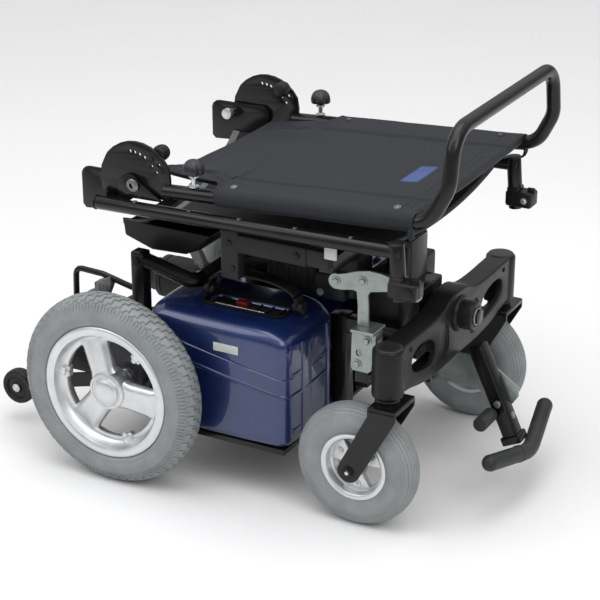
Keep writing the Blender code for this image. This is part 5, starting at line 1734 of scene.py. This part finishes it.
# rear frame, gearboxes, motors and anti-tip wheels
def makeRear(label, side):
    tidyNode(f"rear_upright_{label}", "chassis", "black", 0.0008, f"uprightAndGuard_{label}")
    x = side * 0.1588
    spots = [((x - side * 0.0004, y, z), (side, 0, 0)) for y,
        z in ((0.022, 0.33), (0.022, 0.232), (0.022, 0.2105))]
    fixings(f"uprightBolts_{label}", "chassis", spots, 0.0058, 0.0036, "plastic", 6, 0.0078)
    tidyNode(f"freewheel_lever_{label}", f"freewheel_lever_{label}", "greyPlastic", 0.0012,
        f"freewheelGrip_{label}")
    ribs = bmesh.new()
    start, end = Vector((side * 0.147, 0.089, 0.206)), Vector((side * 0.147, 0.117, 0.258))
    along = (end - start).normalized()
    for k in range(9):
        spot = start + (end - start) * (0.25 + 0.075 * k)
        lathe(ribs, [(0, 0), (0.0052, 0), (0.0066, 0.0006), (0.0066, 0.0014), (0.0052, 0.002), (0, 0.002)],
            turnTo(spot, along), 20)
    finish(fromBm(f"leverRibs_{label}", ribs, 40), f"freewheel_lever_{label}", "greyPlastic", ())
    tidyNode(f"gearbox_{label}", "chassis", "drive", 0.0022, f"gearboxCasting_{label}")
    low, high = boxOf(f"gearbox_{label}")
    outer = side * max(abs(low.x), abs(high.x))
    spots = []
    for y in (low.y + 0.009, high.y - 0.009):
        for z in (low.z + 0.009, high.z - 0.009):
            spots.append(((outer - side * 0.0004, y, z), (side, 0, 0)))
    fixings(f"gearboxScrews_{label}", "chassis", spots, 0.0042, 0.0038, "steel", 12, 0.005)
    ribs = bmesh.new()
    for k in range(4):
        x0 = side * (abs(low.x if side > 0 else high.x) + 0.012 + 0.015 * k)
        blockInto(ribs, (x0 - 0.0015, low.y + 0.01, high.z - 0.002),
            (x0 + 0.0015, high.y - 0.012, high.z + 0.0022), 0.0009, 2)
    finish(fromBm(f"gearboxRibs_{label}", ribs, 40), "chassis", "drive", ())
    makeMotor(label, side)
    tidyNode(f"antitip_arm_{label}", "chassis", "black", 0.0008, f"antitipBar_{label}")
    makeAntitip(label, side)


def makeMotor(label, side):
    low, high = boxOf(f"drive_motor_{label}")
    x, z, radius = side * 0.165, 0.158, 0.0385
    place = turnTo((x, low.y, z), (0, 1, 0))
    length = high.y - low.y
    profile = [(0, 0), (radius - 0.002, 0), (radius - 0.0004, 0.001), (radius, 0.003), (radius, 0.01),
        (radius - 0.0016, 0.0112), (radius - 0.0016, 0.0128)]
    profile += [(radius, 0.014), (radius, length - 0.036), (radius - 0.0014, length - 0.035),
        (radius - 0.0014, length - 0.033), (radius, length - 0.032)]
    profile += [(radius, length - 0.0225), (radius - 0.003, length - 0.0195), (0.0305, length - 0.019),
        (0.03, length - 0.004), (0.028, length - 0.001), (0.024, length), (0, length)]
    bm = lathe(bmesh.new(), profile, place, 72)
    finish(fromBm(f"motorCan_{label}", bm, 35), "chassis", "plastic", f"drive_motor_{label}")
    fins = bmesh.new()
    blockInto(fins, (radius - 0.0012, -0.0011, 0.018), (radius + 0.0006, 0.0011, length - 0.04), 0.0005, 1)
    rows = copiesRound(f"motorFins_{label}", fins, 40, "plastic", place)
    finish(rows, "chassis", "plastic", ())


def makeAntitip(label, side):
    middle = midOf(f"antitip_wheel_{label}")
    place = onAxle(middle.x, middle.y, middle.z, side)
    profile = [(0.0044, -0.0108), (0.009, -0.0108), (0.01, -0.0085), (0.019, -0.0075), (0.0205, -0.01),
        (0.0265, -0.0108), (0.029, -0.0092), (0.0303, -0.0055)]
    profile += [(0.0305, 0)]
    profile += [(r, -h) for r, h in reversed(profile[:-1])]
    bm = lathe(bmesh.new(), profile, place, 64, closed=True)
    finish(fromBm(f"antitipRoller_{label}", bm, 35), f"antitip_wheel_{label}", "plastic",
        f"antitip_wheel_{label}")
    spots = [((middle.x + side * 0.0108, middle.y, middle.z), (side, 0, 0))]
    fixings(f"antitipBolt_{label}", "chassis", spots, 0.0052, 0.0016, "steel", 6, 0.007)


def makeChassis():
    tidyNode("chassis_frame", "chassis", "black", 0.001, "chassisWeldment")
    tidyNode("rear_cross_tube", "chassis", "grey", 0.0006, "rearCrossTube")
    tidyNode("power_module", "chassis", "plastic", 0.002, "powerModuleCase")
    low, high = boxOf("power_module")
    fins = bmesh.new()
    for k in range(7):
        x = low.x + 0.012 + (high.x - low.x - 0.06) * k / 6
        blockInto(fins, (x - 0.0012, low.y - 0.0014, 0.225), (x + 0.0012, low.y + 0.004, 0.325), 0.0006, 1)
    finish(fromBm("powerModuleRibs", fins, 40), "chassis", "plastic", ())
    # lift housing under the seat, between the two boxes
    housing = bmesh.new()
    blockInto(housing, (-0.078, -0.33, 0.3), (-0.012, -0.17, 0.372), 0.008, 4)
    blockInto(housing, (-0.07, -0.3, 0.366), (-0.02, -0.205, 0.386), 0.005, 3)
    blockInto(housing, (-0.092, -0.318, 0.3), (-0.072, -0.262, 0.345), 0.006, 3)
    rodInto(housing, (-0.045, -0.18, 0.335), (-0.045, -0.095, 0.312), 0.0165, 0.003, 40)
    for k in range(6):
        y = -0.3 + 0.022 * k
        blockInto(housing, (-0.0795, y, 0.308), (-0.076, y + 0.01, 0.364), 0.0012, 2)
    finish(fromBm("liftHousing", housing, 40), "chassis", "plastic", ())
    spots = [((-0.0922, -0.3, 0.334), (-1, 0, 0)), ((-0.0922, -0.276, 0.312), (-1, 0, 0)),
        ((-0.0782, -0.222, 0.352), (-1, 0, 0)),
             ((-0.045, -0.25, 0.3858), (0, 0, 1))]
    fixings("housingBolts", "chassis", spots, 0.0044, 0.003, "zinc", 6, 0.0062)
    for label in sides:
        tidyNode(f"battery_{label}", "chassis", "plastic", 0.002, f"batteryBlock_{label}")


def makeTray():
    # dark tray slung under the seat between the rails
    base = [(0.074, 0.372), (0.071, 0.35), (0.02, 0.334), (-0.043, 0.337), (-0.072, 0.351), (-0.09, 0.372)]
    tops = [-0.09 + 0.164 * k / 8 for k in range(9)]
    bm = bmesh.new()
    rings = []
    for x in (-0.116, -0.113, -0.08, -0.04, 0, 0.04, 0.08, 0.113, 0.116):
        inset = 0.003 if abs(x) > 0.115 else 0
        loop = [(y * (1 - inset * 8), z + inset) for y, z in base]
        loop += [(y * (1 - inset * 8), min(0.378, slingHeight(x, y) - 0.006)) for y in tops]
        rings.append([bm.verts.new((x, y, z)) for y, z in loop])
    loftInto(bm, rings)
    bmesh.ops.recalc_face_normals(bm, faces=bm.faces)
    finish(easeEdges(fromBm("underSeatTray", bm, 35), 0.002), "chassis", "plastic", ())


def makeLeverHead(label, side):
    # slotted grip at the end of the freewheel lever
    outline = [(0.087, 0.249), (0.111, 0.253), (0.106, 0.276), (0.079, 0.2885), (0.076, 0.276)]
    bm = bmesh.new()
    addObject(bm, plate("head", outline, 0.014, sideways(side * 0.147), (), 0.0016))
    for k in range(5):
        spot = (side * 0.1545, 0.0825 + 0.004 * k, 0.27)
        blockInto(bm, (spot[0] - 0.001, spot[1], 0.254), (spot[0] + 0.001, spot[1] + 0.0018, 0.274), 0.0005,
            1)
    finish(fromBm(f"leverHead_{label}", bm, 35), f"freewheel_lever_{label}", "greyPlastic", ())
    slot = bmesh.new()
    blockInto(slot, (side * 0.147 - 0.003, 0.104, 0.258), (side * 0.147 + 0.003, 0.1118, 0.272), 0.001, 2)
    finish(fromBm(f"leverSlot_{label}", slot, 35), f"freewheel_lever_{label}", "plastic", ())


for label, side in sides.items():
    makeRails(label, side)
    makeSupport(label, side)
    makeRecline(label, side)
    makeStarKnob(label)
    makeRear(label, side)
    makeLeverHead(label, side)
makeTray()
makeArch("right", -1)
makeKerbClimber()
makeChassis()
print("frame, drives and fittings made")


# everything not redrawn keeps its own solid, with a real finish
finishOfSlot = {
    "black_frame": "black", "grey_steel": "grey", "zinc": "zinc", "blue_gloss": "blue",
    "black_plastic": "plastic",
    "grey_plastic": "greyPlastic", "tyre_grey": "tyre", "rim_silver": "silver", "steel": "steel",
    "nylon": "sling", "foot_rubber": "foot", "dark_cast": "drive",
}
slotOf = {row["node"]: row["material_slot"] for row in frame["record"]["subparts"]}
for name, node in frame["nodes"].items():
    if not node.hide_render:
        node.data.materials.clear()
        node.data.materials.append(finishes[finishOfSlot[slotOf[name]]])
print("carried over:", sum(not node.hide_render for node in frame["nodes"].values()))


# floor, light and camera
studio = {
    "target": (-0.0229, -0.2023, 0.2564), "azimuth": -61.575, "elevation": 23.16, "distance": 3.0251,
    "lens": 111.95,
    "floorTone": (0.8, 0.8, 0.805), "sky": (0.05, 0.72, 0.24, 0.95),
}


def makeFloor():
    mat, tree, shader, coords = startFinish("studioFloor", 0.75)
    paler = [tone + 0.015 for tone in studio["floorTone"]]
    colour = mottle(tree, coords, studio["floorTone"], paler, 1.5)[0]
    tree.links.new(colour, shader.inputs["Base Color"])
    bm = bmesh.new()
    bmesh.ops.create_grid(bm, x_segments=1, y_segments=1, size=12.0)
    floor = fromBm("studioFloorSheet", bm, 0)
    floor.data.materials.append(mat)


def makeLights():
    world = bpy.context.scene.world or bpy.data.worlds.new("studioWorld")
    bpy.context.scene.world = world
    world.use_nodes = True
    world.node_tree.nodes["Background"].inputs["Color"].default_value = (1, 1, 1, 1)
    # bright overhead, dim towards the walls of the room
    tree = world.node_tree
    view = tree.nodes.new("ShaderNodeTexCoord")
    split = tree.nodes.new("ShaderNodeSeparateXYZ")
    span = tree.nodes.new("ShaderNodeMapRange")
    span.interpolation_type = "SMOOTHSTEP"
    for label, value in zip(("From Min", "From Max", "To Min", "To Max"), studio["sky"]):
        span.inputs[label].default_value = value
    tree.links.new(view.outputs["Generated"], split.inputs[0])
    tree.links.new(split.outputs["Z"], span.inputs["Value"])
    tree.links.new(span.outputs["Result"], tree.nodes["Background"].inputs["Strength"])
    for name, place, size, power in (
        ("softTop", (-0.35, -0.15, 2.7), 2.4, 40), ("softLeft", (-1.6, 1.4, 2.0), 1.4, 11),
        ("softFront", (-1.3, -2.1, 2.2), 1.4, 15),
    ):
        light = bpy.data.lights.new(name, "AREA")
        light.shape = "SQUARE"
        light.size = size
        light.energy = power
        lamp = bpy.data.objects.new(name, light)
        bpy.context.scene.collection.objects.link(lamp)
        lamp.location = place
        lamp.rotation_euler = (Vector((0, 0, 0.25)) - Vector(place)).to_track_quat("-Z", "Y").to_euler()


def makeCamera():
    target = Vector(studio["target"]) + Vector((0, axleY, 0))
    azimuth, lift = math.radians(studio["azimuth"]), math.radians(studio["elevation"])
    back = Vector((math.sin(azimuth) * math.cos(lift), -math.cos(azimuth) * math.cos(lift), math.sin(lift)))
    data = bpy.data.cameras.new("chairCamera")
    data.lens = studio["lens"]
    data.clip_end = 60
    camera = bpy.data.objects.new("chairCamera", data)
    bpy.context.scene.collection.objects.link(camera)
    camera.location = target + back * studio["distance"]
    camera.rotation_euler = (-back).to_track_quat("-Z", "Y").to_euler()
    bpy.context.scene.camera = camera


makeFloor()
makeLights()
makeCamera()
bpy.context.scene.view_settings.view_transform = "Standard"
